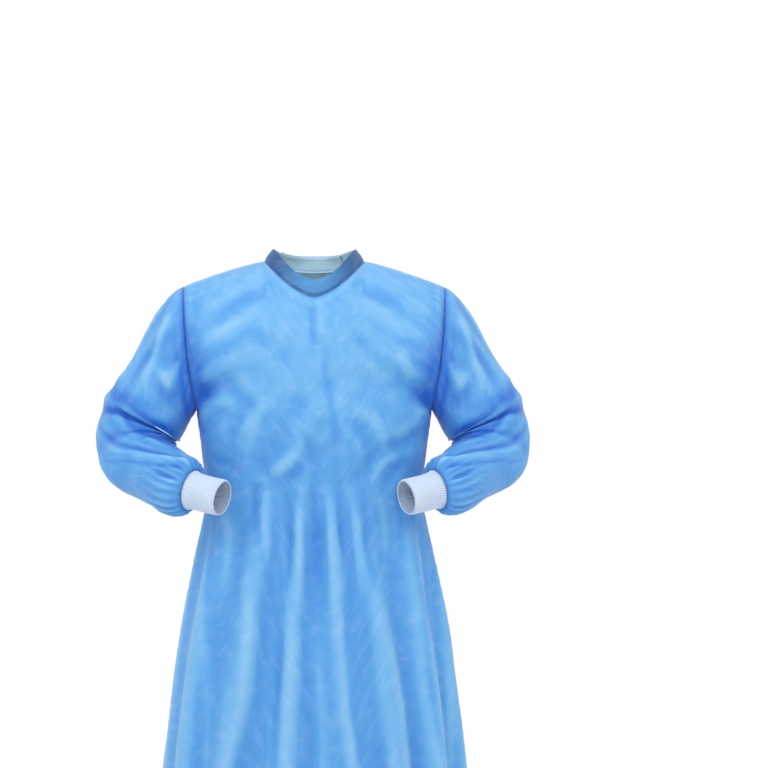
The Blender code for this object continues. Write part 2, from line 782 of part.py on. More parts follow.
def back_depth_at(x, drop):
    """Depth of the outer layer of the lapped back at a distance from its centre."""
    across = min(1.0, abs(x) / half_width(drop))
    turn = math.degrees(math.asin(across ** (1 / SQUARENESS)))
    return body_point(math.copysign(turn, x), drop, BACK).y + LAP_RISE


def knot_centre():
    """Middle of the knot, clear of the lap behind it."""
    depth = max(back_depth_at(0, WAIST_DROP + side * KNOT_HALF.z) for side in (-1, 0, 1))
    return Vector((0, depth + SEAM_GAP + KNOT_HALF.y, -WAIST_DROP))


def knot_reach(axis, offset):
    """How far the knot's surface is from its middle along one axis, at an offset along the others."""
    power = 2 / KNOT_SQUARENESS
    left = 1 - sum((abs(offset[k]) / KNOT_HALF[k]) ** power for k in range(3) if k != axis)
    return KNOT_HALF[axis] * left ** (1 / power)


def knot():
    """The knot of the ties as a squared, rounded lump."""
    def squared(value):
        return math.copysign(abs(value) ** KNOT_SQUARENESS, value)

    centre = knot_centre()
    vertices = [centre + Vector((0, 0, KNOT_HALF.z)), centre - Vector((0, 0, KNOT_HALF.z))]
    for ring in range(1, KNOT_SLICES):
        tilt = math.pi * ring / KNOT_SLICES
        for spoke in range(KNOT_SPOKES):
            angle = 2 * math.pi * spoke / KNOT_SPOKES
            shape = Vector((squared(math.sin(tilt)) * squared(math.cos(angle)),
                            squared(math.sin(tilt)) * squared(math.sin(angle)), squared(math.cos(tilt))))
            vertices.append(centre + shape * KNOT_HALF)
    faces = []
    for spoke in range(KNOT_SPOKES):
        after = (spoke + 1) % KNOT_SPOKES
        faces.append([0, 2 + spoke, 2 + after])
        for ring in range(KNOT_SLICES - 2):
            top, low = 2 + ring * KNOT_SPOKES, 2 + (ring + 1) * KNOT_SPOKES
            faces.append([top + spoke, low + spoke, low + after])
            faces.append([top + spoke, low + after, top + after])
        low = 2 + (KNOT_SLICES - 2) * KNOT_SPOKES
        faces.append([1, low + after, low + spoke])
    make_object("tie_knot", vertices, faces, TIE_CLOTH)


def bow_loop(name, side):
    """One loop of the bow: out from the knot, round its end and back on top."""
    droop = math.radians(BOW_DROOP)
    along = Vector((side * math.cos(droop), BOW_LEAN, -math.sin(droop))).normalized()
    width = Vector((side * math.sin(droop), 0, math.cos(droop)))
    centre = knot_centre()
    low_corner = Vector((0, BOW_NEAR - KNOT_HALF.y, -TIE_WIDTH / 2 * math.cos(droop)))
    seat = knot_reach(0, low_corner) + SEAM_GAP + TIE_WIDTH / 2 * math.sin(droop)
    start = Vector((side * seat, centre.y - KNOT_HALF.y, centre.z))
    out = Vector((0, 1, 0))
    middle = (BOW_NEAR + BOW_FAR) / 2
    radius = (BOW_FAR - BOW_NEAR) / 2
    path, ways = [], []
    for share in BOW_UNDER_SHARES:
        path.append(start + along * (BOW_LENGTH * share) + out * BOW_NEAR)
        ways.append(-out)
    for step in range(BOW_END_STEPS + 1):
        angle = math.pi * step / BOW_END_STEPS
        reach = BOW_LENGTH + radius * math.sin(angle)
        path.append(start + along * reach + out * (middle - radius * math.cos(angle)))
        ways.append((along * math.sin(angle) - out * math.cos(angle)).normalized())
    for share in BOW_OVER_SHARES:
        puff = BOW_PUFF * math.sin(math.pi * share)
        path.append(start + along * (BOW_LENGTH * share) + out * (BOW_FAR + puff))
        ways.append(out)
    return ribbon(name, path, [width] * len(path), ways)


def tie_tail(name, side):
    """A loose end that hangs from the knot down the lapped back."""
    corner = Vector((TIE_WIDTH / 4, TAIL_CLEARANCE - KNOT_HALF.y, 0))
    top = WAIST_DROP + knot_reach(2, corner) + SEAM_GAP
    path, widths, ways = [], [], []
    for step in range(TAIL_STEPS + 1):
        share = step / TAIL_STEPS
        drop = top + TAIL_LENGTH * share
        x = side * (TIE_WIDTH / 2 + SEAM_GAP + TAIL_SPREAD * share)
        reach = TIE_WIDTH / 2
        depth = max(back_depth_at(x + reach * edge, drop) for edge in (-1, -0.5, 0, 0.5, 1))
        path.append(Vector((x, depth + TAIL_CLEARANCE, -drop)))
        widths.append(Vector((1, 0, 0)))
        ways.append(Vector((0, 1, 0)))
    return ribbon(name, path, widths, ways)


def build_gown():
    """Makes every piece of the gown."""
    front = body_panel("front_panel", FRONT, -COLUMNS, COLUMNS)
    left = body_panel("back_panel_left", BACK, -COLUMNS, LAP_UNDER_EDGE)
    right = body_panel("back_panel_right", BACK, LAP_OVER_EDGE, COLUMNS)
    right.move_out([lap_lift(index) for index in range(LAP_OVER_EDGE, COLUMNS + 1)])
    ring = armhole_ring(front, right)
    sleeve = sleeve_piece("sleeve_right", ring)
    other_sleeve = mirrored(sleeve, "sleeve_left")
    band = neck_band(front, left, right)
    share_seams([front, left, right, sleeve, other_sleeve, band])

    tie_left = tie_piece("waist_tie_left", left, -COLUMNS,
                         lambda index: LAP_RISE if index >= LAP_OVER_EDGE else 0.0)
    tie_right = tie_piece("waist_tie_right", right, COLUMNS, lambda index: 0.0)

    rows = range(UNDERARM_ROW, len(front.outer))
    for panel, edge, step in ((left, 0, 1), (right, len(right.outer[0]) - 1, -1)):
        part_from_seam(panel, [(row, edge) for row in rows], [(row, edge + step) for row in rows])
        columns = range(SHOULDER_STEPS + 1) if step == 1 else range(edge - SHOULDER_STEPS, edge + 1)
        part_from_seam(panel, [(0, column) for column in columns], [(1, column) for column in columns])
    around = range(len(ring))
    for arm in (sleeve, other_sleeve):
        part_from_seam(arm, [(0, column) for column in around], [(1, column) for column in around])
    along = range(len(band.outer[0]))
    part_from_seam(band, [(BAND_ROWS, column) for column in along],
                   [(BAND_ROWS - 1, column) for column in along])

    cuff = cuff_piece("cuff_right")
    pieces = [front, left, right, sleeve, other_sleeve, band, cuff, mirrored(cuff, "cuff_left")]
    pieces += [tie_left, tie_right]
    pieces += [bow_loop("bow_loop_right", 1), bow_loop("bow_loop_left", -1)]
    pieces += [tie_tail("tie_tail_right", 1), tie_tail("tie_tail_left", -1)]
    for piece in pieces:
        make_wall(piece)
    knot()


clear_scene()
build_gown()
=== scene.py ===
"""Looks of the isolation gown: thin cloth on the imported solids' forms, with materials and light.

Metres, +Z up. The front of the gown faces -Y and +X is on the right of someone who looks at it.
The origin is halfway between the two points where the shoulder seams meet the neck band. A drop
is a distance below the origin. A turn is an angle round the body in degrees: 0 is the centre of
the front or of the back, and 90 is the side seam or the armhole. An index counts the columns of
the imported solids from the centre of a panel, and is split here into finer ones.
"""
import json
import math
from collections import namedtuple

import bpy
import numpy as np
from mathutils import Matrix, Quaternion, Vector

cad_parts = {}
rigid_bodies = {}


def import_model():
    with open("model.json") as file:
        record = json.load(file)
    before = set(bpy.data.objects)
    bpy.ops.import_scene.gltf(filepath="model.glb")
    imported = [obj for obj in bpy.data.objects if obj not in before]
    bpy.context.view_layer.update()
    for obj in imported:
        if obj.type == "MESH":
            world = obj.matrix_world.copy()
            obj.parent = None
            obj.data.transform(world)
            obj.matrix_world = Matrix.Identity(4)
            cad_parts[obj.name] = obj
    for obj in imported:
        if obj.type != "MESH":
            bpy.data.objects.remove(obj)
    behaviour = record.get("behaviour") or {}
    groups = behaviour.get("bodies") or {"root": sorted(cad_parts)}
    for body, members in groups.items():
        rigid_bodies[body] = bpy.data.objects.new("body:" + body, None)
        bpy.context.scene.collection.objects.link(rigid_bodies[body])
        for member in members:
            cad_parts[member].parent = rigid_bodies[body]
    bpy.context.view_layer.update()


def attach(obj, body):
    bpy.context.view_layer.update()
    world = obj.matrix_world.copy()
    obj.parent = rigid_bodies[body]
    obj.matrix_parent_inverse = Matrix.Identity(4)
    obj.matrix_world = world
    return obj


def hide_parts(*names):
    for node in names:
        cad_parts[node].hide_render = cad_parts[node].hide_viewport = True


# Sizes that the solids have too
NECK_HALF_WIDTH = 0.095
NECK_DROP_FRONT = 0.072
NECK_DROP_BACK = 0.018
NECK_CURVE_FRONT = 1.6
NECK_CURVE_BACK = 2.2
NECK_RISE_INSIDE = 0.25
SHOULDER_HALF_WIDTH = 0.247
SHOULDER_DROP = 0.048
SHOULDER_CURVE = 1.25
SHOULDER_SETBACK = 0.004
ARMHOLE_DROP = 0.175
ARMHOLE_HALF_DEPTH = 0.080
UNDERARM_DROP = 0.280
ARM_SWEEP = 66.0
YOKE_ROUNDNESS = 1.7
ARMHOLE_FADE = 6.0
SQUARENESS = 0.84
WAIST_DROP = 0.440
HEM_DROP = 1.120

Section = namedtuple("Section", "drop half_width front back")
SECTIONS = (
    Section(0.048, 0.247, 0.118, 0.118),
    Section(0.175, 0.235, 0.128, 0.125),
    Section(0.280, 0.222, 0.135, 0.124),
    Section(0.367, 0.211, 0.129, 0.114),
    Section(0.440, 0.203, 0.119, 0.106),
    Section(0.500, 0.213, 0.123, 0.112),
    Section(0.540, 0.222, 0.130, 0.121),
    Section(0.620, 0.238, 0.143, 0.137),
    Section(0.670, 0.247, 0.150, 0.145),
    Section(0.850, 0.272, 0.172, 0.168),
    Section(1.120, 0.298, 0.198, 0.194),
)

Fullness = namedtuple("Fullness", "drop height")
FULLNESS = (
    Fullness(0.425, 0.0000),
    Fullness(0.460, 0.0030),
    Fullness(0.530, 0.0085),
    Fullness(0.620, 0.0110),
    Fullness(0.850, 0.0150),
    Fullness(1.120, 0.0210),
)

FoldLine = namedtuple("FoldLine", "at_waist at_hem height")
FRONT_FOLDS = (
    FoldLine(-90.0, -90.0, 0.0),
    FoldLine(-69.0, -73.0, -0.7),
    FoldLine(-52.0, -57.0, 0.8),
    FoldLine(-38.0, -46.0, -0.8),
    FoldLine(-21.0, -34.0, 0.9),
    FoldLine(-12.0, -22.0, -1.0),
    FoldLine(-5.0, -10.0, 0.8),
    FoldLine(0.0, 0.5, -0.9),
    FoldLine(5.5, 12.0, 0.8),
    FoldLine(12.5, 22.0, -0.8),
    FoldLine(19.0, 32.0, 0.7),
    FoldLine(35.0, 41.0, -1.0),
    FoldLine(48.5, 53.0, 0.9),
    FoldLine(60.0, 66.0, -0.7),
    FoldLine(76.0, 79.0, 0.5),
    FoldLine(90.0, 90.0, 0.0),
)
BACK_FOLDS = (
    FoldLine(-90.0, -90.0, 0.0),
    FoldLine(-75.0, -78.0, 0.6),
    FoldLine(-62.0, -67.0, -0.8),
    FoldLine(-50.0, -54.0, 0.9),
    FoldLine(-40.0, -43.0, -0.9),
    FoldLine(-29.0, -33.0, 0.7),
    FoldLine(-19.0, -23.0, -0.8),
    FoldLine(-7.0, -9.0, 0.5),
    FoldLine(5.0, 6.0, -0.6),
    FoldLine(15.0, 18.0, 0.6),
    FoldLine(26.0, 29.0, -0.9),
    FoldLine(37.0, 41.0, 0.9),
    FoldLine(49.0, 52.0, -0.8),
    FoldLine(60.0, 64.0, 0.9),
    FoldLine(73.0, 77.0, -0.6),
    FoldLine(90.0, 90.0, 0.0),
)

DragFold = namedtuple("DragFold", "x drop to_x to_drop width height")
DRAG_FOLDS = (
    DragFold(x=-0.095, drop=0.385, to_x=-0.030, to_drop=0.270, width=0.020, height=-0.007),
    DragFold(x=-0.060, drop=0.392, to_x=0.002, to_drop=0.285, width=0.022, height=0.005),
    DragFold(x=0.095, drop=0.400, to_x=0.185, to_drop=0.325, width=0.022, height=-0.007),
    DragFold(x=0.020, drop=0.170, to_x=0.016, to_drop=0.410, width=0.022, height=-0.003),
)
DRAG_SEAM_MARGIN = 20.0

UPPER_ARM = Vector((0.607, 0.050, -0.793)).normalized()
FOREARM = Vector((-0.615, -0.710, -0.345)).normalized()
CUFF_WAY = Vector((-0.880, -0.430, -0.200)).normalized()
SLEEVE_CAP_WAY = Vector((0.880, 0.000, -0.475)).normalized()
ELBOW_PIVOT = Vector((0.270, -0.040, -0.329))
ELBOW_PIVOT_GAP = 0.0075

ElbowRing = namedtuple("ElbowRing", "share across deep crease")
ELBOW_RINGS = (
    ElbowRing(0.00, 0.0790, 0.074, 0.002),
    ElbowRing(0.09, 0.0785, 0.074, 0.004),
    ElbowRing(0.19, 0.0770, 0.072, -0.009),
    ElbowRing(0.29, 0.0775, 0.072, 0.001),
    ElbowRing(0.42, 0.0765, 0.071, 0.003),
    ElbowRing(0.56, 0.0745, 0.069, -0.003),
    ElbowRing(0.70, 0.0710, 0.067, 0.001),
    ElbowRing(0.85, 0.0660, 0.063, 0.001),
    ElbowRing(1.00, 0.0615, 0.060, -0.001),
)
ForearmRing = namedtuple("ForearmRing", "along share radius")
FOREARM_RINGS = (
    ForearmRing(0.024, 0.0, 0.0585),
    ForearmRing(0.048, 0.0, 0.0575),
    ForearmRing(0.072, 0.1, 0.0570),
    ForearmRing(0.092, 0.3, 0.0570),
    ForearmRing(0.107, 0.6, 0.0540),
    ForearmRing(0.116, 0.9, 0.0465),
    ForearmRing(0.121, 1.0, 0.0368),
)
CUFF_RIBS = 48
CUFF_RIB_HEIGHT = 0.0006
CUFF_GAP = 0.0003
CuffRing = namedtuple("CuffRing", "along radius")
CUFF_RINGS = (
    CuffRing(along=0.000, radius=0.0362),
    CuffRing(along=0.012, radius=0.0330),
    CuffRing(along=0.065, radius=0.0325),
)
BandSize = namedtuple("BandSize", "inward rise")
BAND_FRONT = BandSize(inward=0.012, rise=0.032)
BAND_SIDE = BandSize(inward=0.0165, rise=0.0235)
BAND_BACK = BandSize(inward=0.006, rise=0.030)
BAND_BULGE = 0.0015
LAP_RISE = 0.0028
LAP_UNDER_EDGE = 3
LAP_OVER_EDGE = -4
LAP_RAMP = 2
TIE_WIDTH = 0.028
KNOT_HALF = Vector((0.015, 0.0085, 0.019))
KNOT_SQUARENESS = 0.5
BOW_LENGTH = 0.085
BOW_DROOP = 28.0
BOW_LEAN = 0.16
BOW_NEAR = 0.0035
BOW_FAR = 0.0125
TAIL_LENGTH = 0.230
TAIL_SPREAD = 0.034
TAIL_CLEARANCE = 0.0040
NECK_STEPS = 6
NECK_CROWDING = 0.6
SHOULDER_STEPS = 9
COLUMNS = NECK_STEPS + SHOULDER_STEPS
FRONT = -1
BACK = 1

# How finely the cloth is made
PARTS = 5
YOKE_ROWS = 38
ARMHOLE_ROWS = 22
TORSO_ROWS = 30
TIE_ROWS = 6
SKIRT_ROWS = 132
SLEEVE_TOP_ROWS = 40
ELBOW_ROWS = 60
FOREARM_ROWS = 34
UNDERARM_ROW = YOKE_ROWS + ARMHOLE_ROWS
TIE_TOP_ROW = UNDERARM_ROW + TORSO_ROWS
DROP_GUESSES = 6
RISE_HALVINGS = 40

# Thin cloth, its seams and its small folds
CLOTH = 0.0006
TIE_CLOTH = 0.0010
CUFF_CLOTH = 0.0016
BAND_THICKNESS = 0.0018
SEAM_PUFF = 0.0011
SEAM_PUFF_LENGTH = 0.0234
SEAM_PUFF_ROUNDNESS = 0.8
SEAM_CORNER = 0.02
NECK_SEAM_SHARE = 0.6
ARMHOLE_PUFF = 0.0042
ARMHOLE_PUFF_REACH = 0.028
CREASE_SEAM_MARGIN = 0.030
CREASE_LEAN = 0.25
CREASE_END = 0.04
CREASE_TAPER = 0.6
BEND_SHARE = 0.45
LENGTH_EVEN = 3
ELBOW_FILL_ROUND = 0.090
ELBOW_FILL_EVEN = 9
TIE_EVEN = 2
DRAG_FADE = 0.045
EDGE_TOLERANCE = 1e-6
BEND_TOLERANCE = 0.01
LEAST_LENGTH = 1e-12

# Puckers along a seam. The swells and the drift are waves, in radians for each metre
PUCKER_HEIGHT = 0.00045
PUCKER_LENGTH = 0.021
PUCKER_REACH = 0.016
PUCKER_EVEN = 0.55
PUCKER_SWELL = 31.0
PUCKER_SWELL_START = 1.3
PUCKER_LONG_SWELL = 13.0
PUCKER_DRIFT = 23.0
PUCKER_DRIFT_HEIGHT = 1.6

# Painted shade, as deeper blue: how much, and how far it reaches from its line
Shade = namedtuple("Shade", "depth reach")
SEAM_SHADE = Shade(depth=0.55, reach=0.0035)
UNDERARM_SEAM_SHADE = Shade(depth=0.5, reach=0.0030)
SLEEVE_END_SHADE = Shade(depth=0.5, reach=0.004)
CUFF_SEAM_SHADE = Shade(depth=0.5, reach=0.003)
BAND_SEAM_SHADE = Shade(depth=1.0, reach=0.10)
ARMHOLE_SHADE = Shade(depth=2.1, reach=0.030)
ARMHOLE_SHADE_LEAST = 0.18
ARMHOLE_SHADE_NARROW = 0.45
ARMHOLE_SHADE_WIDE = 1.30
ARMHOLE_SHADE_EDGE = 1.3
BAND_SIDE_SHADE = 1.1
BAND_INSIDE_SHADE = 0.25
WAIST_SHADE = 0.22
WAIST_SHADE_LOST = 0.6
SLEEVE_SHADE = 0.14
FOREARM_SHADE = 0.20
PLEAT_SHADE = 0.18
CREASE_SHADE = 0.55
CRUMPLE_SHADE = 0.30
MOST_SHADE = 1.2
# Painted shade in the cloth's troughs and painted highlight on its ridges: how many neighbours each point is
# weighed against, and how deep a trough is for full shade
PAINTED_SHADE_CAVITY_REACH = 6
PAINTED_SHADE_CAVITY_DEPTH = 0.0042

# Where effects grow from nothing or fade away, as drops
ARMHOLE_PUFF_GROWS = (0.03, 0.12)
ARMHOLE_PUFF_FADES = (0.212, 0.272)
ARMHOLE_SHADE_GROWS = (0.05, 0.24)
ARMHOLE_SHADE_FADES = (0.27, 0.37)
ARMHOLE_SHADE_WIDENS = (0.04, 0.26)
WAIST_SHADE_GROWS = (0.20, 0.40)
WAIST_SHADE_FADES = (0.47, 0.69)
# The same along the sleeve from the armhole seam, and as shares of the forearm
FOREARM_SHADE_GROWS = (0.20, 0.32)
GATHERS_GROW = (0.35, 0.85)
GATHERS_FADE = (0.90, 1.02)

# How far loose cloth stands out on the outer side of the elbow, above the start of its bend
Fill = namedtuple("Fill", "above reach height")
ELBOW_FILLS = (
    Fill(above=0.000, reach=0.070, height=0.0085),
    Fill(above=0.014, reach=0.018, height=0.0045),
)

# Small creases, along the cloth from the panel's centre line and below the origin. A
# height below 0 is a trough, and bow is how far the middle of its line swings aside.
Crease = namedtuple("Crease", "across drop to_across to_drop bow width height")


def crease_table(*rows):
    """Creases from rows of their values in millimetres."""
    return tuple(Crease(*(value / 1000 for value in row)) for row in rows)


FRONT_CREASES = crease_table(
    (-4, 80, -3, 168, 0, 7, -2.6),
    (9, 78, 13, 150, 0, 9, 1.6),
    (14, 168, 27, 405, 4, 8, -2.2),
    (-110, 50, -205, 118, -10, 18, -3.6),
    (-125, 90, -222, 160, 8, 15, 3),
    (105, 55, 200, 105, 10, 18, -3.6),
    (120, 98, 215, 150, -8, 15, 2.8),
    (-262, 225, -155, 185, -12, 14, 3.4),
    (-265, 258, -165, 228, -8, 12, -3.4),
    (-255, 300, -180, 262, 6, 13, 3),
    (262, 230, 155, 190, 12, 14, 3.4),
    (265, 262, 170, 236, 8, 12, -3.4),
    (255, 305, 185, 272, -6, 13, 3),
    (-150, 130, -40, 205, 14, 19, -2.6),
    (-60, 100, -80, 190, 8, 16, 2.2),
    (70, 125, 145, 205, -10, 17, -2.8),
    (148, 160, 178, 235, 6, 15, 3.6),
    (-175, 210, -90, 300, -12, 16, -2.6),
    (-140, 345, -75, 250, 10, 14, 3.8),
    (-178, 352, -130, 275, 8, 12, -3.4),
    (-100, 398, -40, 345, -8, 12, 4.2),
    (-74, 412, -28, 372, -4, 9, -3.4),
    (-30, 320, -10, 408, 3, 11, -3),
    (48, 290, 92, 388, 10, 13, -3.2),
    (75, 275, 122, 350, 8, 14, 3.2),
    (85, 418, 152, 360, 10, 11, 4.4),
    (105, 432, 190, 372, 12, 11, -4),
    (130, 330, 215, 280, -10, 14, 3.4),
    (-235, 372, -150, 395, 6, 12, -3.4),
    (238, 350, 170, 402, 6, 13, -3),
    (-128, 400, -140, 520, 4, 10, -3.4),
    (-102, 415, -118, 560, -4, 10, 3.4),
    (-66, 420, -82, 600, 3, 10, -4),
    (-40, 425, -58, 640, -3, 10, 3.6),
    (-20, 400, -22, 590, 4, 8, -3.6),
    (6, 410, 12, 640, 3, 9, 3.6),
    (30, 415, 42, 560, -3, 8, -3.6),
    (50, 425, 70, 640, 4, 10, 3.6),
    (76, 430, 98, 600, -3, 9, -4),
    (104, 425, 132, 570, 4, 11, 3.6),
    (142, 420, 160, 540, 4, 10, -3.4),
    (-190, 440, -225, 620, 8, 14, 4),
    (-215, 450, -262, 700, -10, 14, -3.6),
    (195, 445, 232, 640, -8, 14, 4),
    (222, 450, 268, 680, 10, 14, -3.6),
    (-160, 600, -205, 900, 10, 16, 4.4),
    (-90, 640, -120, 980, -12, 15, -4.4),
    (-28, 660, -36, 1020, 8, 15, 4),
    (40, 620, 60, 940, -10, 14, -4),
    (118, 660, 160, 1000, 10, 16, 4.4),
    (205, 620, 258, 950, -12, 16, -4.4),
    (-262, 720, -318, 1060, 10, 16, 4),
    (292, 740, 330, 1080, -8, 16, 4),
    (-190, 860, -222, 1140, -6, 15, -4.6),
    (12, 860, 16, 1140, 6, 15, -4),
    (96, 900, 112, 1140, 6, 15, -4.6),
)
BACK_CREASES = crease_table(
    (-120, 45, -215, 110, -12, 18, -3.6),
    (-105, 95, -205, 175, 10, 16, 3),
    (120, 45, 210, 115, 10, 18, -3.6),
    (100, 100, 205, 165, -10, 16, 3),
    (-262, 235, -150, 200, -12, 14, 3.6),
    (-265, 265, -150, 250, -8, 13, -3.6),
    (262, 225, 150, 180, 12, 14, 3.6),
    (265, 258, 160, 228, 8, 13, -3.6),
    (-70, 80, -50, 210, 12, 16, -2.8),
    (75, 90, 55, 230, -10, 16, 2.6),
    (-180, 215, -70, 330, -14, 18, -3.6),
    (-215, 300, -90, 372, -10, 15, 3.6),
    (-225, 362, -110, 405, -6, 12, -3.4),
    (185, 205, 85, 320, 14, 18, -3.6),
    (220, 290, 100, 368, 10, 15, 3.6),
    (228, 352, 105, 402, 6, 12, -3.4),
    (-160, 385, -165, 490, 3, 10, 3.2),
    (-120, 380, -124, 510, -3, 10, -3.6),
    (-80, 376, -82, 500, 3, 10, 3),
    (85, 378, 90, 505, 3, 10, -3.2),
    (122, 382, 130, 500, -3, 10, 3.4),
    (160, 380, 170, 495, 3, 10, -3.4),
    (-215, 470, -255, 720, 10, 15, -4.2),
    (-175, 480, -215, 780, -10, 14, 4.2),
    (-105, 480, -128, 760, 8, 14, -4),
    (115, 480, 145, 740, -8, 14, -4),
    (165, 480, 215, 770, 10, 14, 4.2),
    (215, 470, 262, 730, -10, 15, -4.2),
    (-255, 760, -300, 1080, 12, 17, 4.4),
    (-165, 800, -190, 1140, -10, 16, -4.8),
    (-80, 780, -92, 1120, 10, 16, 4),
    (75, 800, 90, 1140, -10, 16, -4.4),
    (170, 820, 195, 1140, 10, 16, 4.4),
    (262, 780, 305, 1100, -12, 17, -4.6),
)
# The same for a sleeve: round it from its outer line, towards the front, and along it from the
# armhole seam
SLEEVE_CREASES = crease_table(
    (60, 20, 85, 150, 12, 14, 3.4),
    (105, 30, 60, 170, -10, 14, -3.6),
    (20, 15, 40, 120, 8, 13, -3),
    (-30, 10, -20, 110, -8, 14, 3),
    (-85, 15, -60, 150, 10, 14, -3.6),
    (-130, 30, -90, 170, -10, 14, 3.6),
    (165, 10, 120, 85, 8, 11, 3.6),
    (190, 35, 110, 105, 10, 11, -3.8),
    (-170, 12, -120, 90, -8, 11, -3.6),
    (185, 78, 72, 205, 2, 12, 4.6),
    (196, 96, 56, 240, 2, 11, -5.8),
    (175, 140, 36, 268, -6, 14, 4.6),
    (-190, 130, -90, 170, -12, 13, 4),
    (-195, 160, -60, 205, -12, 12, -4.4),
    (50, 205, -70, 235, 12, 15, -3.4),
    (120, 225, 0, 262, -12, 14, 3.8),
    (-50, 260, -140, 300, 12, 14, -3.6),
    (130, 262, 20, 300, 12, 14, -3.8),
    (160, 285, 60, 330, -10, 13, 3.8),
    (-20, 300, -100, 345, -10, 13, 3.4),
    (110, 325, 30, 392, 10, 12, -3.6),
    (-60, 345, -110, 420, 8, 12, -3.4),
    (150, 360, 95, 430, -8, 12, 3.4),
    (0, 370, -30, 450, 8, 12, 3.2),
    (60, 400, 50, 470, -5, 10, -3),
)

# Shade under the fold inside the elbow, in the same way but in metres. The height is a share here
SLEEVE_SHADES = (
    Crease(0.205, 0.088, 0.020, 0.262, 0.002, 0.024, 1.60),
    Crease(-0.205, 0.100, -0.070, 0.215, -0.004, 0.016, 0.80),
)

# Crumples all over: how long the waves are and how high
Crumple = namedtuple("Crumple", "length height")
CRUMPLES = (
    Crumple(length=0.120, height=0.0024),
    Crumple(length=0.054, height=0.0013),
    Crumple(length=0.024, height=0.0005),
)
CRUMPLE_APART = 7.3
CRUMPLE_ROUNDING = 0.006
CRUMPLE_STEEPNESS = 2
CRUMPLE_LEVEL = 0.55
FALLING_SHARE = 0.38
NOISE_SEED = 11
NOISE_CELLS = 256
NOISE_GAIN = 1.6
SIDES_APART = 3.0
SLEEVES_APART = 1.7

# Gathers of the sleeve at the cuff, round the sleeve
GATHER_WAVES = 23
GATHER_HEIGHT = 0.0019
GATHER_DRIFT = 1.4
GATHER_DRIFT_WAVES = 3
GATHER_EVEN = 0.75
GATHER_SWELL_WAVES = 5

# The other sleeve's creases end a little elsewhere
OTHER_SLEEVE_SHARE = 0.92
OTHER_SLEEVE_SHIFT = 0.004

# Neck band: its rows, its rolled upper edge, its ripples and its line of stitches, as shares of
# its height or in metres
BAND_ROWS = 15
BAND_EDGE_ROWS = 7
BAND_EDGE_ROUND = 0.03
BAND_ROLL = 0.0006
BAND_ROLL_START = 0.80
BAND_RIPPLE = 0.0009
BAND_RIPPLE_WAVE = 52
BAND_RIPPLE_DRIFT = 21
BAND_RIPPLE_DRIFT_HEIGHT = 2
STITCH_PLACE = 0.14
STITCH_REACH = 0.05
STITCH_SHADE = 0.8
STITCH_DEPTH = 0.0007

# Cuff: its rows, its end that turns in, and its unevenness
CUFF_ROWS = 27
CUFF_RIB_POINTS = 6
CUFF_RIB_SHADE = 3.0
CUFF_TURN_IN = 0.0012
CUFF_TURN_REACH = 0.0016
CUFF_END_REACH = 0.002
CUFF_END_SHARE = 0.4
CUFF_SAG = 0.0007
CUFF_SAG_WAVES = 3
CUFF_SAG_WAVE_ALONG = 60

# Ties: how they lie on the back, the grooves of the knot, the loops and the loose ends
TIE_GAP = 0.0010
TIE_WAVE = 0.0004
TIE_WAVE_STEP = 0.54
TIE_WAVE_EDGE = 1.2
TIE_LAP_START = 1.2
TIE_UNDER_KNOT = 0.55
TIE_CURL = 0.0006
RIBBON_ROWS = 7
KNOT_ROWS = 41
KNOT_COLUMNS = 80
KNOT_POLE = 0.001
KNOT_POLE_FADE = 3
KNOT_GAP = 0.0003
KNOT_SLANT = 0.35
KNOT_GROOVE_PLACE = 0.42
KNOT_GROOVE = 0.0011
KNOT_GROOVE_REACH = 0.10
KNOT_CROSS_SLANT = 0.4
KNOT_CROSS = 0.0006
KNOT_CROSS_REACH = 0.12
KNOT_SHADE = Shade(depth=0.35, reach=0.08)
BOW_SEAT = 0.003
BOW_BACK_STOPS = (0.0, 0.3, 0.6, 0.9)
BOW_FRONT_STOPS = (0.9, 0.7, 0.45, 0.2, 0.0)
BOW_END_POINTS = 7
BOW_PUFF = 0.004
BOW_POINTS = 90
BOW_PINCH = 0.28
BOW_PINCH_REACH = 0.09
TAIL_SEAT = 0.002
TAIL_GAP = 0.0003
TAIL_STOPS = 14
TAIL_POINTS = 70
TAIL_WAVE = 0.0016
TAIL_WAVES = 17
TAIL_WAVE_START = 0.2
TAIL_CURL = 0.0008

# Flat cuts in metres and square metres. A tube is cut all round it, and the neck band's strip
# is folded lengthwise
Cut = namedtuple("Cut", "width length area")

# Camera and light
CAMERA_DISTANCE = 3.2
CAMERA_DROP = 0.232
VIEW_WIDTH = 1.459
VIEW_ASIDE = 0.132
SENSOR_WIDTH = 36.0
FLOOR_DROP = 1.46
FLOOR_RADIUS = 1.5
FLOOR_POINTS = 96
FLOOR_COLOUR = (0.80, 0.81, 0.82, 1.0)
FLOOR_ROUGHNESS = 0.9
WHITE = (1.0, 1.0, 1.0, 1.0)
Lamp = namedtuple("Lamp", "name place size power")
LAMPS = (
    Lamp(name="key", place=(-1.4, -2.2, 1.9), size=1.3, power=25.0),
    Lamp(name="fill", place=(1.6, -2.3, 1.6), size=1.4, power=14.0),
)
LAMP_AIM = Vector((0.0, 0.0, -0.35))

# Noise in the cloth, in about so many waves for each metre
Grain = namedtuple("Grain", "waves detail roughness")
DRIFT_GRAIN = Grain(waves=150.0, detail=2.0, roughness=0.5)
CLOUD_GRAIN = Grain(waves=38.0, detail=4.0, roughness=0.6)
FIBRE_GRAIN = Grain(waves=900.0, detail=3.0, roughness=0.7)
CRINKLE_GRAIN = Grain(waves=120.0, detail=5.0, roughness=0.62)
FUZZ_GRAIN = Grain(waves=1400.0, detail=3.0, roughness=0.7)

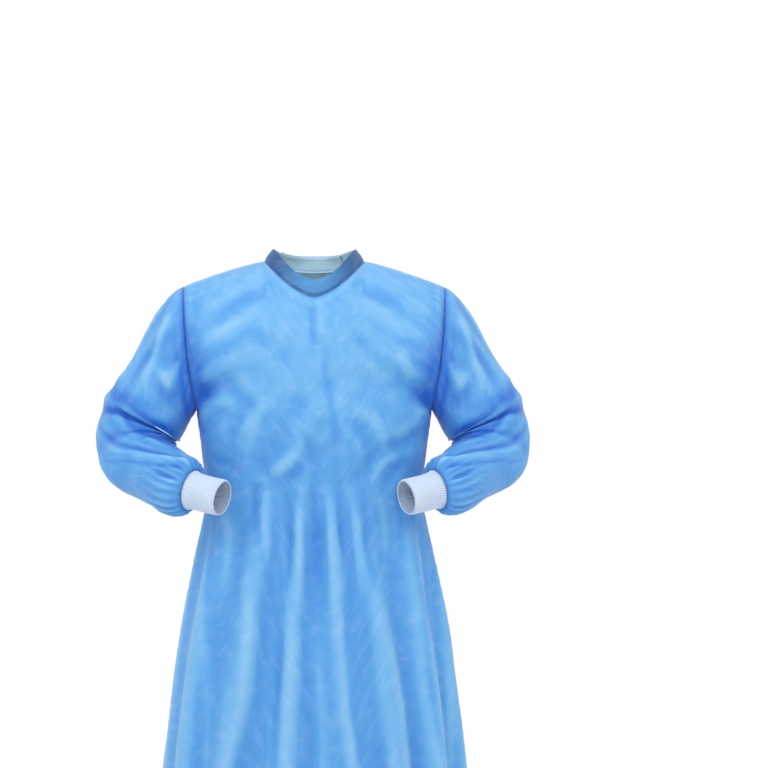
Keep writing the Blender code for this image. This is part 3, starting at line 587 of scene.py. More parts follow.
# Surface of the nonwoven, with its bond points in metres
BOND_PITCH = 0.0022
BOND_EDGE = (0.22, 0.34)
BOND_DRIFT = 0.005
BOND_DEEPER = 0.03
BOND_HEIGHT = 0.7
CLOUD_RANGE = (0.3, 0.7)
CLOUD_SHARE = 0.06
FIBRE_SHARE = 0.03
FIBRE_HEIGHT = 0.6
DARK_TINT = (0.0, 0.05, 0.25, 1.0)
SHEEN_TINT = (0.78, 0.90, 1.0, 1.0)
SHEEN = 0.22
BAND_SHEEN = 0.25
SHEEN_ROUGHNESS = 0.45
CLOTH_ROUGHNESS = (0.53, 0.64)
CLOTH_SPECULAR = 0.35
PAINTED_SHADE_RANGE = (0.0, 1.3)
PAINTED_HIGHLIGHT_RANGE = (-0.8, 0.15)
PAINTED_SHADE_MOST_SHARE = 0.94

# Surface of the knit, with its stitches in metres
KNIT_WALE = 0.0011
KNIT_SLANT = 0.9
KNIT_COURSE = 0.0016
FUZZ_HEIGHT = 0.5
KNIT_PAINTED_SHADE_RANGE = (-0.2, 1.0)
KNIT_PAINTED_SHADE_MOST_SHARE = 0.75
KNIT_ROUGHNESS = 0.85
KNIT_SPECULAR = 0.2
KNIT_SHEEN = 0.5
KNIT_SHEEN_ROUGHNESS = 0.5

Bump = namedtuple("Bump", "strength distance")
FINE_BUMP = Bump(strength=0.12, distance=0.00012)
WRINKLE_BUMP = Bump(strength=0.30, distance=0.0016)
STITCH_BUMP = Bump(strength=0.6, distance=0.0004)

# A material's colours: middle is its own colour, light is the painted highlight on its ridges and stitch
# tops, and deep is the painted shade in its troughs and shaded places, and faintly on its bond points
ColoursWithPaintedLight = namedtuple("ColoursWithPaintedLight", "light middle deep")


def linear(red, green, blue):
    """A colour given as 0 to 255 on a screen, as the shaders take it."""
    def one(value):
        value /= 255
        return value / 12.92 if value <= 0.04045 else ((value + 0.055) / 1.055) ** 2.4

    return one(red), one(green), one(blue), 1.0


CLOTH_COLOURS = ColoursWithPaintedLight(light=linear(148, 196, 229), middle=linear(90, 164, 222), deep=linear(0, 90, 194))
# The inside of the same cloth, painted much paler than the outside: painted light where the inside shows
INSIDE_PAINTED_LIGHT_COLOURS = ColoursWithPaintedLight(light=linear(216, 246, 255), middle=linear(208, 242, 255), deep=linear(150, 206, 242))
BAND_COLOURS = ColoursWithPaintedLight(light=linear(84, 150, 206), middle=linear(62, 130, 190), deep=linear(18, 66, 118))
TIE_COLOURS = ColoursWithPaintedLight(light=linear(124, 184, 234), middle=linear(84, 156, 220), deep=linear(10, 88, 176))
KNIT_COLOURS = ColoursWithPaintedLight(light=linear(226, 236, 248), middle=linear(196, 214, 238), deep=linear(118, 150, 196))


def ease(value):
    """Goes from 0 to 1 with a soft start and end."""
    value = np.clip(value, 0.0, 1.0)
    return value * value * (3 - 2 * value)


def between(value, ends):
    """Goes softly from 0 to 1 while a value goes from the first end to the second."""
    return ease((value - ends[0]) / (ends[1] - ends[0]))


def hump(away, reach):
    """1 on a line, and less on both sides of it."""
    return np.exp(-(away / reach) ** 2)


def beside(away, reach):
    """0 on a line, 1 at its reach, and less beyond."""
    return away / reach * np.exp(1 - away / reach)


def unit(ways):
    """Directions of length 1."""
    return ways / np.maximum(np.linalg.norm(ways, axis=-1, keepdims=True), LEAST_LENGTH)


def blend(first, second, share):
    """Goes in a straight line from the first value to the second."""
    return first + (second - first) * share


def curve_through(places, values, place):
    """Reads a smooth curve through table values, held level past both ends of the table."""
    places = np.asarray(places, float)
    values = np.asarray(values, float)
    place = np.clip(place, places[0], places[-1])
    rises = np.diff(values) / np.diff(places)
    before, after = rises[:-1], rises[1:]
    same_way = before * after > 0
    total = np.where(same_way, before + after, 1.0)
    inner_slopes = np.where(same_way, 2 * before * after / total, 0.0)
    slopes = np.concatenate([rises[:1], inner_slopes, rises[-1:]])
    k = np.clip(np.searchsorted(places, place, side="right") - 1, 0, len(rises) - 1)
    span = places[k + 1] - places[k]
    share = (place - places[k]) / span
    bend = (slopes[k] * (1 - share) - slopes[k + 1] * share) * span * share * (1 - share)
    swing = rises[k] * span * share * (1 - share) * (1 - 2 * share)
    return blend(values[k], values[k + 1], share) + bend - swing


def smooth_rows(places, rows, wanted):
    """Reads rows of values at the wanted places, on a smooth line through them."""
    places = np.asarray(places, float)
    rows = np.asarray(rows, float)
    slopes = np.gradient(rows, places, axis=0)
    k = np.clip(np.searchsorted(places, wanted, side="right") - 1, 0, len(places) - 2)
    span = (places[k + 1] - places[k])[:, None]
    share = (wanted - places[k])[:, None] / span
    rest = 1 - share
    start = (1 + 2 * share) * rest ** 2 * rows[k] + share * rest ** 2 * span * slopes[k]
    end = (1 + 2 * rest) * share ** 2 * rows[k + 1] - rest * share ** 2 * span * slopes[k + 1]
    return start + end


def read_table(table, column, drop):
    """Reads one column of a table at drops."""
    return curve_through([row.drop for row in table], [getattr(row, column) for row in table], drop)


def half_width(drop):
    """Half the gown's width at a drop."""
    return read_table(SECTIONS, "half_width", drop)


def body_depth(drop, side):
    """How far the centre of the front or the back is from the middle plane."""
    return read_table(SECTIONS, "front" if side == FRONT else "back", drop)


def armhole_share(drop):
    """Share of the way from the armhole level down to the underarm."""
    return np.clip((drop - ARMHOLE_DROP) / (UNDERARM_DROP - ARMHOLE_DROP), 0.0, 1.0)


def spread(turn, sweep):
    """Shares of the half width and of the depth that a turn reaches."""
    edge = np.radians(sweep)
    angle = edge * np.abs(turn) / 90
    across = np.maximum(np.sin(angle) / np.sin(edge), 0.0) ** SQUARENESS
    deep = (np.cos(angle) - np.cos(edge)) / (1 - np.cos(edge))
    return np.copysign(across, turn), deep


def line_turns(lines, drop):
    """Turns of the skirt's folds at drops, a row for each drop."""
    share = np.maximum(0.0, (drop - WAIST_DROP) / (HEM_DROP - WAIST_DROP))[:, None]
    waist = np.array([line.at_waist for line in lines])
    hem = np.array([line.at_hem for line in lines])
    return blend(waist, hem, share)


def pleat_heights(turn, drop, side):
    """How far the skirt's folds stand out."""
    lines = FRONT_FOLDS if side == FRONT else BACK_FOLDS
    heights = np.array([line.height for line in lines])
    out = np.zeros_like(turn)
    for row, turns in enumerate(line_turns(lines, drop)):
        k = np.clip(np.searchsorted(turns, turn[row], side="right") - 1, 0, len(lines) - 2)
        share = (turn[row] - turns[k]) / (turns[k + 1] - turns[k])
        out[row] = blend(heights[k], heights[k + 1], (1 - np.cos(np.pi * share)) / 2)
    return out * read_table(FULLNESS, "height", drop)[:, None]


def drag_heights(x, turn, drop, side):
    """How far the drag folds of the front stand out."""
    total = np.zeros_like(x)
    if side == BACK:
        return total
    for fold in DRAG_FOLDS:
        along = np.array((fold.to_x - fold.x, fold.to_drop - fold.drop))
        offset = np.stack([x - fold.x, np.broadcast_to(drop, x.shape) - fold.drop], axis=-1)
        share = np.clip(offset @ along / (along @ along), 0.0, 1.0)
        away = np.linalg.norm(offset - share[..., None] * along, axis=-1)
        total += fold.height * hump(away, fold.width)
    below_yoke = ease((drop - ARMHOLE_DROP) / DRAG_FADE)
    return total * ease((90 - np.abs(turn)) / DRAG_SEAM_MARGIN) * below_yoke


def body_points(turn, drop, side):
    """Points of the front or back from the armhole level down, and how far their folds stand out."""
    column = drop[:, None]
    share = armhole_share(column)
    across, deep = spread(turn, blend(ARM_SWEEP, 90.0, ease(share)))
    width, depth = half_width(column), body_depth(column, side)
    edge_depth = ARMHOLE_HALF_DEPTH * np.sqrt(1 - share ** 2)
    near_seam = np.clip(1 - deep, 0.0, 1.0) ** (1 + ARMHOLE_FADE * share ** 3)
    x = across * width
    y = side * (depth * deep + edge_depth * near_seam)
    out = unit(np.stack([x / width ** 2, y / depth ** 2], axis=-1))
    lift = pleat_heights(turn, drop, side) + drag_heights(x, turn, column, side)
    height = np.broadcast_to(-column, x.shape)
    return np.stack([x + out[..., 0] * lift, y + out[..., 1] * lift, height], axis=-1), lift


def ridge_drop(x):
    """Drop of the shoulder line, carried on over the neck opening."""
    beyond = np.abs(x) - NECK_HALF_WIDTH
    share = np.maximum(beyond, 0.0) / (SHOULDER_HALF_WIDTH - NECK_HALF_WIDTH)
    return np.where(beyond < 0, beyond * NECK_RISE_INSIDE, SHOULDER_DROP * share ** SHOULDER_CURVE)


def yoke_points(turn, rise, side):
    """Points above the armhole level: rise 0 is that level and 90 is the shoulder line."""
    across, deep = spread(turn, ARM_SWEEP)
    level_depth = blend(ARMHOLE_HALF_DEPTH, body_depth(ARMHOLE_DROP, side), deep)
    up = np.sin(np.radians(rise)) ** (2 / YOKE_ROUNDNESS)
    inward = np.maximum(0.0, np.cos(np.radians(rise))) ** (2 / YOKE_ROUNDNESS)
    drop = np.full(np.broadcast(turn, rise).shape, ARMHOLE_DROP)
    for _ in range(DROP_GUESSES):
        drop = blend(ARMHOLE_DROP, ridge_drop(across * half_width(drop)), up)
    y = blend(SHOULDER_SETBACK, side * level_depth, inward)
    return np.stack([across * half_width(drop), y * np.ones_like(drop), -drop], axis=-1)


def neckline_drop(x, side):
    """Drop of the neckline at a distance from the centre."""
    share = np.minimum(1.0, np.abs(x) / NECK_HALF_WIDTH)
    if side == FRONT:
        return NECK_DROP_FRONT * (1 - share ** NECK_CURVE_FRONT)
    return NECK_DROP_BACK * (1 - share ** NECK_CURVE_BACK)


def top_rises(turn, side):
    """The rise at which each column ends: at the shoulder line, or at the neckline before it."""
    top = yoke_points(turn, np.full_like(turn, 90.0), side)
    low, high = np.zeros_like(turn), np.full_like(turn, 90.0)
    for _ in range(RISE_HALVINGS):
        middle = (low + high) / 2
        points = yoke_points(turn, middle, side)
        under = -points[:, 2] > neckline_drop(points[:, 0], side)
        low, high = np.where(under, middle, low), np.where(under, high, middle)
    return np.where(np.abs(top[:, 0]) > NECK_HALF_WIDTH - EDGE_TOLERANCE, 90.0, low)


def shoulder_turns(index):
    """Turns of columns above the armhole level: even along the shoulder, crowded beside the neck."""
    step = np.abs(index)
    share = np.minimum(1.0, step / NECK_STEPS)
    by_neck = NECK_HALF_WIDTH * blend(share, np.sin(np.pi / 2 * share), NECK_CROWDING)
    beyond = blend(NECK_HALF_WIDTH, SHOULDER_HALF_WIDTH, (step - NECK_STEPS) / SHOULDER_STEPS)
    reach = (np.where(step <= NECK_STEPS, by_neck, beyond) / SHOULDER_HALF_WIDTH) ** (1 / SQUARENESS)
    edge = math.radians(ARM_SWEEP)
    sine = np.clip(reach * math.sin(edge), 0, math.sin(edge))
    return np.copysign(90 * np.arcsin(sine) / edge, index)


def column_turns(index, drop, side):
    """Turns of columns at drops: from the waist down, each odd column runs along a fold line."""
    lines = FRONT_FOLDS if side == FRONT else BACK_FOLDS
    place = (index + COLUMNS) / 2
    first = np.minimum(place.astype(int), len(lines) - 2)
    turns = line_turns(lines, drop)
    folded = blend(turns[:, first], turns[:, first + 1], place - first)
    share = ease((drop - ARMHOLE_DROP) / (WAIST_DROP - ARMHOLE_DROP))[:, None]
    return blend(shoulder_turns(index), folded, share)


def body_drops():
    """Drops of the rows from the armhole level down to the hem."""
    tie_edges = (WAIST_DROP - TIE_WIDTH / 2, WAIST_DROP + TIE_WIDTH / 2)
    stops = (ARMHOLE_DROP, UNDERARM_DROP, *tie_edges, HEM_DROP)
    rows = (ARMHOLE_ROWS, TORSO_ROWS, TIE_ROWS, SKIRT_ROWS)
    runs = [np.linspace(stops[k], stops[k + 1], rows[k], endpoint=False) for k in range(len(rows))]
    return np.concatenate(runs + [[HEM_DROP]])


def make_noise(seed):
    """Smooth noise in space, from about -1 to 1, the same in every run."""
    chance = np.random.default_rng(seed)
    order = np.tile(chance.permutation(NOISE_CELLS), 3)
    ways = unit(chance.normal(size=(NOISE_CELLS, 3)))

    def noise(points):
        cell = np.floor(points).astype(int)
        inside = points - cell
        fade = inside ** 3 * (inside * (inside * 6 - 15) + 10)
        total = np.zeros(points.shape[:-1])
        for corner in np.ndindex(2, 2, 2):
            corner = np.array(corner)
            at = (cell + corner) % NOISE_CELLS
            key = order[order[order[at[..., 0]] + at[..., 1]] + at[..., 2]]
            weight = np.prod(np.where(corner, fade, 1 - fade), axis=-1)
            total += weight * np.sum(ways[key] * (inside - corner), axis=-1)
        return total * NOISE_GAIN

    return noise


NOISE = make_noise(NOISE_SEED)


def crumple_heights(points):
    """Soft crumples, sharper in their valleys, and drawn out downwards below the waist."""
    below = np.minimum(points[..., 2:] + WAIST_DROP, 0.0)
    points = np.concatenate([points[..., :2], points[..., 2:] - below * (1 - FALLING_SHARE)], axis=-1)
    total = np.zeros(points.shape[:-1])
    for number, crumple in enumerate(CRUMPLES):
        wave = NOISE(points / crumple.length + CRUMPLE_APART * number)
        ridged = np.sqrt(wave ** 2 + CRUMPLE_ROUNDING)
        total += crumple.height * (ridged * CRUMPLE_STEEPNESS - CRUMPLE_LEVEL)
    return total


def crease_heights(across, drop, creases, round_length=None):
    """How far small creases stand out. A tube's length round it lets a crease cross its seam."""
    total = np.zeros_like(across)
    for crease in creases:
        along = np.array((crease.to_across - crease.across, crease.to_drop - crease.drop))
        length = math.hypot(*along)
        aside = across - crease.across
        if round_length is not None:
            aside = aside - round_length * np.round((aside - along[0] / 2) / round_length)
        below = drop - crease.drop
        share = (aside * along[0] + below * along[1]) / length ** 2
        held = np.clip(share, 0.0, 1.0)
        off = (aside * along[1] - below * along[0]) / length - crease.bow * np.sin(np.pi * held)
        end = (share - held) * length
        width = crease.width * (1 + CREASE_LEAN * np.tanh(off / crease.width))
        taper = np.sin(np.pi * np.clip(share, CREASE_END, 1 - CREASE_END)) ** CREASE_TAPER
        total += crease.height * taper * hump(off, width) * hump(end, crease.width)
    return total


def lengths_along(points, axis):
    """Running length of the cloth along an axis of its grid."""
    steps = np.linalg.norm(np.diff(points, axis=axis), axis=-1)
    start = np.zeros_like(np.take(steps, [0], axis=axis))
    return np.concatenate([start, np.cumsum(steps, axis=axis)], axis=axis)


def soften(field, reach, closed):
    """A field's running mean over its neighbours."""
    for axis in (0, 1):
        pad = [(0, 0), (0, 0)]
        pad[axis] = (reach, reach)
        wide = np.pad(field, pad, mode="wrap" if closed and axis == 1 else "edge")
        summed = np.insert(np.cumsum(wide, axis=axis), 0, 0, axis=axis)
        size = 2 * reach + 1
        high = np.take(summed, np.arange(size, summed.shape[axis]), axis=axis)
        low = np.take(summed, np.arange(0, summed.shape[axis] - size), axis=axis)
        field = (high - low) / size
    return field


def soften_ways(ways, reach, closed):
    """Directions evened out over their neighbours."""
    return unit(np.stack([soften(ways[..., k], reach, closed) for k in range(3)], axis=-1))


def grid_normals(points, outward, closed):
    """Outward direction of the cloth at each point of a grid."""
    down = np.gradient(points, axis=0)
    if closed:
        right = np.roll(points, -1, axis=1) - np.roll(points, 1, axis=1)
    else:
        right = np.gradient(points, axis=1)
    return unit(np.cross(down, right) * outward)


class Cloth:
    """A cut piece as a grid of outer points, with what its material needs to know of its form.

    relief is how far its folds stand out, weighed for the painted shade in its troughs and the
    painted highlight on its ridges, and shade is more painted shade, how much deeper its blue is.
    index has the panel's columns, and shares a tube's places round it from 0 to 1.
    """

    def __init__(self, name, points, outward, closed=False):
        self.name = name
        self.points = points
        self.outward = outward
        self.closed = closed
        self.relief = np.zeros(points.shape[:2])
        self.shade = np.zeros(points.shape[:2])
        self.index = None
        self.shares = None
        self.normals = grid_normals(points, outward, closed)

    def move_out(self, heights):
        """Moves the points out along the cloth's directions and finds those again."""
        self.points = self.points + self.normals * heights[..., None]
        self.normals = grid_normals(self.points, self.outward, self.closed)

    def grid(self):
        """Lengths across and down, with one more column where the piece is a tube."""
        points = self.points
        if self.closed:
            points = np.concatenate([points, points[:, :1]], axis=1)
        return lengths_along(points, 1), lengths_along(points, 0)


def seam_heights(away, run):
    """The puff and the small puckers of the cloth beside a seam, none on the seam itself."""
    across_puff = np.sin(np.pi * np.clip(away / SEAM_PUFF_LENGTH, 0, 1))
    swell = np.sin(run * PUCKER_SWELL + PUCKER_SWELL_START) * np.sin(run * PUCKER_LONG_SWELL)
    drift = PUCKER_DRIFT_HEIGHT * np.sin(run * PUCKER_DRIFT)
    pucker = blend(swell, 1.0, PUCKER_EVEN) * np.sin(2 * np.pi * run / PUCKER_LENGTH + drift)
    pucker *= PUCKER_HEIGHT * beside(away, PUCKER_REACH)
    return SEAM_PUFF * across_puff ** SEAM_PUFF_ROUNDNESS + pucker


def armhole_puff(away, drop):
    """How far the cloth beside the armhole stands out, least at the shoulder and underarm."""
    strength = between(drop, ARMHOLE_PUFF_GROWS) * (1 - between(drop, ARMHOLE_PUFF_FADES))
    return ARMHOLE_PUFF * strength * beside(away, ARMHOLE_PUFF_REACH)


def seam_shade(away, shade):
    """Painted shade, as deeper blue at a line and less away from it."""
    return shade.depth * np.exp(-away / shade.reach)


def armhole_shade(away, drop):
    """Painted shade beside the armhole, as deeper blue, most at the underarm."""
    strength = blend(ARMHOLE_SHADE_LEAST, 1.0, between(drop, ARMHOLE_SHADE_GROWS))
    strength = strength * (1 - between(drop, ARMHOLE_SHADE_FADES))
    wider = blend(ARMHOLE_SHADE_NARROW, ARMHOLE_SHADE_WIDE, between(drop, ARMHOLE_SHADE_WIDENS))
    away = away / (ARMHOLE_SHADE.reach * wider)
    return ARMHOLE_SHADE.depth * strength * np.exp(-away ** ARMHOLE_SHADE_EDGE)


def waist_shade(drop):
    """Painted shade, as deeper blue, growing from below the chest down to the waist, and weaker on the skirt.
    """
    lost = WAIST_SHADE_LOST * between(drop, WAIST_SHADE_FADES)
    return WAIST_SHADE * between(drop, WAIST_SHADE_GROWS) * (1 - lost)


def body_panel(name, side, first, last, creases):
    """A front or back panel from one column to another, neckline and shoulder down to the hem."""
    index = np.linspace(first, last, (last - first) * PARTS + 1)
    turn = shoulder_turns(index)
    rises = top_rises(turn, side)
    steps = np.linspace(1.0, 0.0, YOKE_ROWS, endpoint=False)[:, None]
    yoke = yoke_points(turn[None, :] * np.ones_like(steps), rises[None, :] * steps, side)
    drops = body_drops()
    body, lift = body_points(column_turns(index, drops, side), drops, side)
    piece = Cloth(name, np.concatenate([yoke, body], axis=0), outward=-side)
    piece.index = index
    # The pleats' heights, weighed for the painted shade in their troughs and the painted highlight on their
    # ridges
    piece.relief[YOKE_ROWS:] = lift * PLEAT_SHADE
    add_panel_folds(piece, side, first, last, creases)
    return piece


def add_panel_folds(piece, side, first, last, creases):
    """Adds a panel's creases, crumples and seams to its form, and painted shade at the waist, beside the
    armhole and along its seams.
    """
    across, down = piece.grid()
    from_centre = across - across[:, [-first * PARTS]]
    drop = -piece.points[..., 2]
    to_seam = np.ones(across.shape)
    if first == -COLUMNS:
        to_seam = np.minimum(to_seam, across)
    if last == COLUMNS:
        to_seam = np.minimum(to_seam, across[:, -1:] - across)
    inner = ease(np.minimum(to_seam, down) / CREASE_SEAM_MARGIN)
    spots = piece.points + np.array((0.0, side * SIDES_APART, 0.0))
    creased = crease_heights(from_centre, drop, creases) * inner
    crumpled = crumple_heights(spots) * inner
    top_share = np.where(np.abs(piece.index) >= NECK_STEPS, 1.0, NECK_SEAM_SHARE)
    seams = seam_heights(to_seam, down) * ease(down / SEAM_CORNER)
    seams += seam_heights(down, across) * top_share * ease(to_seam / SEAM_CORNER)
    # How far seams, creases and crumples stand out, weighed for painted shade in troughs and painted
    # highlight on ridges
    piece.relief += seams + creased * CREASE_SHADE + crumpled * CRUMPLE_SHADE
    # Painted shade: deeper blue round the waist, beside the armhole and along the seams
    piece.shade += waist_shade(drop) + armhole_shade(to_seam, drop)
    piece.shade += seam_shade(np.minimum(to_seam, down), SEAM_SHADE)
    piece.move_out(creased + crumpled + seams + armhole_puff(to_seam, drop))


def lap_lifts(index):
    """How far the upper layer of the lap is moved out at each column of the back."""
    return LAP_RISE * ease((LAP_UNDER_EDGE + 1 + LAP_RAMP - index) / LAP_RAMP)


def armhole_ring(front, back):
    """The armhole at +X, from the underarm up the front to the shoulder and down the back."""
    up = front.points[UNDERARM_ROW::-1, -1]
    return np.concatenate([up, back.points[1:UNDERARM_ROW, -1]], axis=0)


def elbow_frame(share):
    """Outer direction, side direction and way along the sleeve at a share of the elbow's bend."""
    outer = -(FOREARM - UPPER_ARM * FOREARM.dot(UPPER_ARM)).normalized()
    side = outer.cross(UPPER_ARM)
    bend = UPPER_ARM.angle(FOREARM)
    if (Quaternion(side, bend) @ UPPER_ARM - FOREARM).length > BEND_TOLERANCE:
        bend = -bend
    turn = Quaternion(side, bend * share)
    return turn @ outer, side, turn @ UPPER_ARM


def sleeve_layout():
    """Centres, directions and sizes of the sleeve's rings from the elbow to the cuff seam."""
    rings, places = [], []
    for row in ELBOW_RINGS:
        outer, side, way = elbow_frame(row.share)
        centre = ELBOW_PIVOT + outer * (ELBOW_PIVOT_GAP + row.across)
        rings.append((*centre, *outer, *side, *way, row.across, row.deep, row.crease))
        places.append(row.share)
    full = FOREARM.rotation_difference(CUFF_WAY)
    along = 0.0
    for row in FOREARM_RINGS:
        turn = Quaternion().slerp(full, row.share)
        centre = centre + (turn @ FOREARM) * (row.along - along)
        along = row.along
        ways = (*(turn @ outer), *(turn @ side), *(turn @ FOREARM))
        rings.append((*centre, *ways, row.radius, row.radius, 0.0))
        places.append(1.0 + along / FOREARM_RINGS[-1].along)
    return np.array(places), np.array(rings)


def sleeve_piece(name, ring):
    """The sleeve at +X: from the armhole to the elbow, round it and along to the cuff."""
    places, rings = sleeve_layout()
    elbow = np.linspace(0, 1, ELBOW_ROWS, endpoint=False)
    forearm = np.linspace(1, 2, FOREARM_ROWS + 1)
    wanted = np.concatenate([elbow, forearm])
    made = smooth_rows(places, rings, wanted)
    way = made[0, 9:12]
    top = unit(np.array((-way[2], 0, way[0])))
    front = np.cross(top, way)
    front = front if front[1] < 0 else -front
    steps = np.linalg.norm(ring - np.roll(ring, 1, axis=0), axis=1)
    shares = np.concatenate([[0.0], np.cumsum(steps[1:])]) / steps.sum()
    angle = 2 * np.pi * shares
    radials = front * np.sin(angle)[:, None] - top * np.cos(angle)[:, None]
    share_out, share_side = radials @ made[0, 3:6], radials @ made[0, 6:9]

    centre, outer, side = made[:, None, 0:3], made[:, None, 3:6], made[:, None, 6:9]
    across, deep, crease = made[:, None, 12:13], made[:, None, 13:14], made[:, None, 14:15]
    out, aside = share_out[None, :, None], share_side[None, :, None]
    radial = outer * out + side * aside
    near_hand = np.maximum(np.maximum(-out, -radial[..., 1:2]), 0.0)
    along = np.clip(wanted - 1, 0, 1)[:, None]
    gather = GATHER_HEIGHT * between(along, GATHERS_GROW) * (1 - between(along, GATHERS_FADE))
    waves = np.cos(GATHER_WAVES * angle + GATHER_DRIFT * np.sin(GATHER_DRIFT_WAVES * angle))
    waves *= blend(np.cos(GATHER_SWELL_WAVES * angle + 1), 1.0, GATHER_EVEN)
    lift = crease * near_hand + (gather * waves)[..., None]
    lower = centre + outer * (across * out) + side * (deep * aside) + radial * lift

    step = np.linspace(0, 1, SLEEVE_TOP_ROWS, endpoint=False)[:, None, None]
    start, end = ring[None], lower[:1]
    reach = np.linalg.norm(end - start, axis=-1, keepdims=True) / 3
    raised = np.maximum(0.0, radials @ top)[None, :, None]
    leave = unit(blend(np.array(UPPER_ARM), np.array(SLEEVE_CAP_WAY), raised))
    near, far, rest = start + leave * reach, end - np.array(UPPER_ARM) * reach, 1 - step
    upper = start * rest ** 3 + end * step ** 3 + 3 * rest * step * (near * rest + far * step)
    piece = Cloth(name, np.concatenate([upper, lower], axis=0), outward=1, closed=True)
    piece.relief[SLEEVE_TOP_ROWS:] = lift[..., 0]
    piece.shares = shares
    return piece


def fill_elbow(piece):
    """Moves the loose cloth at the elbow out on the sleeve's outer side."""
    across, down = piece.grid()
    round_it = (0.5 - piece.shares)[None, :] * across[:, -1:]
    along = soften(down[:, :-1], LENGTH_EVEN, True)
    above = along[SLEEVE_TOP_ROWS] - along
    total = sum(fill.height * hump(above - fill.above, fill.reach) for fill in ELBOW_FILLS)
    piece.normals = soften_ways(piece.normals, ELBOW_FILL_EVEN, True)
    piece.move_out(total * hump(round_it, ELBOW_FILL_ROUND))


def add_sleeve_folds(piece, creases, apart):
    """Adds a sleeve's creases, crumples and seams to its form, and painted shade: under the elbow's fold,
    over all of it and more on the forearm, beside the armhole, along its seams and at its end.
    """
    across, down = piece.grid()
    round_length = across[:, -1:]
    across, down = across[:, :-1], down[:, :-1]
    round_it = (0.5 - piece.shares)[None, :] * round_length
    along = soften(down, LENGTH_EVEN, True)
    to_cuff = down[-1:] - down
    inner = ease(np.minimum(down, to_cuff) / CREASE_SEAM_MARGIN)
    crumpled = crumple_heights(piece.points + np.array((0.0, apart, 0.0))) * inner
    heights = crease_heights(round_it, along, creases, round_length) * inner + crumpled
    heights += seam_heights(down, round_it)
    from_underarm = np.minimum(piece.shares, 1 - piece.shares)[None, :] * round_length
    heights += seam_heights(from_underarm, down) * inner
    step = np.linalg.norm(np.gradient(piece.points, axis=0), axis=-1)
    heights *= ease(step / (BEND_SHARE * step.max(axis=1, keepdims=True)))
    piece.relief += heights - crumpled * (1 - CRUMPLE_SHADE)
    seam_drop = -piece.points[:1, :, 2]
    piece.shade += np.maximum(crease_heights(round_it, along, SLEEVE_SHADES, round_length), 0.0)
    # Painted shade: the whole sleeve a little deeper blue, and the forearm more
    piece.shade += SLEEVE_SHADE + FOREARM_SHADE * between(down, FOREARM_SHADE_GROWS)
    piece.shade += armhole_shade(down, np.minimum(seam_drop, UNDERARM_DROP))
    piece.shade += seam_shade(down, SEAM_SHADE) + seam_shade(from_underarm, UNDERARM_SEAM_SHADE)
    piece.shade += seam_shade(to_cuff, SLEEVE_END_SHADE)
    piece.move_out(heights + armhole_puff(down, seam_drop))


def mirrored(piece, name):
    """The same form on the other side of the body."""
    other = Cloth(name, piece.points * np.array((-1.0, 1.0, 1.0)), -piece.outward, piece.closed)
    other.relief = piece.relief.copy()
    other.shares = piece.shares
    return other


def make_mesh(name, points, across, down, outward, closed):
    """A mesh of quads on a grid, with its lengths as UV coordinates in metres."""
    rows, columns = points.shape[:2]
    last = columns if closed else columns - 1
    row, column = np.meshgrid(np.arange(rows - 1), np.arange(last), indexing="ij")
    corners = [(row, column), (row + 1, column), (row + 1, column + 1), (row, column + 1)]
    if outward < 0:
        corners.reverse()
    faces = np.stack([r * columns + c % columns for r, c in corners], axis=-1).reshape(-1, 4)
    places = np.stack([np.stack([across[r, c], -down[r, c]], axis=-1) for r, c in corners], axis=2)
    mesh = bpy.data.meshes.new(name)
    mesh.from_pydata(points.reshape(-1, 3), [], faces.tolist())
    layer = mesh.uv_layers.new(name="metres")
    layer.data.foreach_set("uv", places.reshape(-1).astype(np.float32))
    mesh.shade_smooth()
    return mesh


def add_object(name, data):
    """Puts a new object in the scene."""
    item = bpy.data.objects.new(name, data)
    bpy.context.scene.collection.objects.link(item)
    return item


def show(name, mesh, materials, nodes, thickness=None):
    """Puts a mesh in the scene as a piece that stands for solids."""
    item = add_object(name, mesh)
    for material in materials:
        mesh.materials.append(material)
    if thickness:
        shell = item.modifiers.new("wall", "SOLIDIFY")
        shell.thickness = thickness
        shell.offset = -1.0
        shell.material_offset = len(materials) - 1
    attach(item, "root")
    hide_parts(*nodes)
    return item


def show_cloth(piece, materials, thickness=CLOTH, inner_rows=0):
    """Shows a cut piece, with its troughs and ridges and its shade kept for its material as painted shade and
    painted highlight.
    """
    across, down = piece.grid()
    mesh = make_mesh(piece.name, piece.points, across, down, piece.outward, piece.closed)
    quads_in_row = len(mesh.polygons) // (piece.points.shape[0] - 1)
    for polygon in mesh.polygons[:inner_rows * quads_in_row]:
        polygon.material_index = 1
    # Painted shade where a point lies below its neighbours, painted highlight where it lies above them, plus
    # the piece's own painted shade
    low = (soften(piece.relief, PAINTED_SHADE_CAVITY_REACH, piece.closed) - piece.relief) / PAINTED_SHADE_CAVITY_DEPTH
    value = np.clip(low, -1.0, 1.0) + np.clip(piece.shade, 0.0, MOST_SHADE)
    layer = mesh.attributes.new("painted_shade_and_highlight", "FLOAT", "POINT")
    layer.data.foreach_set("value", value.reshape(-1).astype(np.float32))
    return show(piece.name + "_cloth", mesh, materials, [piece.name], thickness)


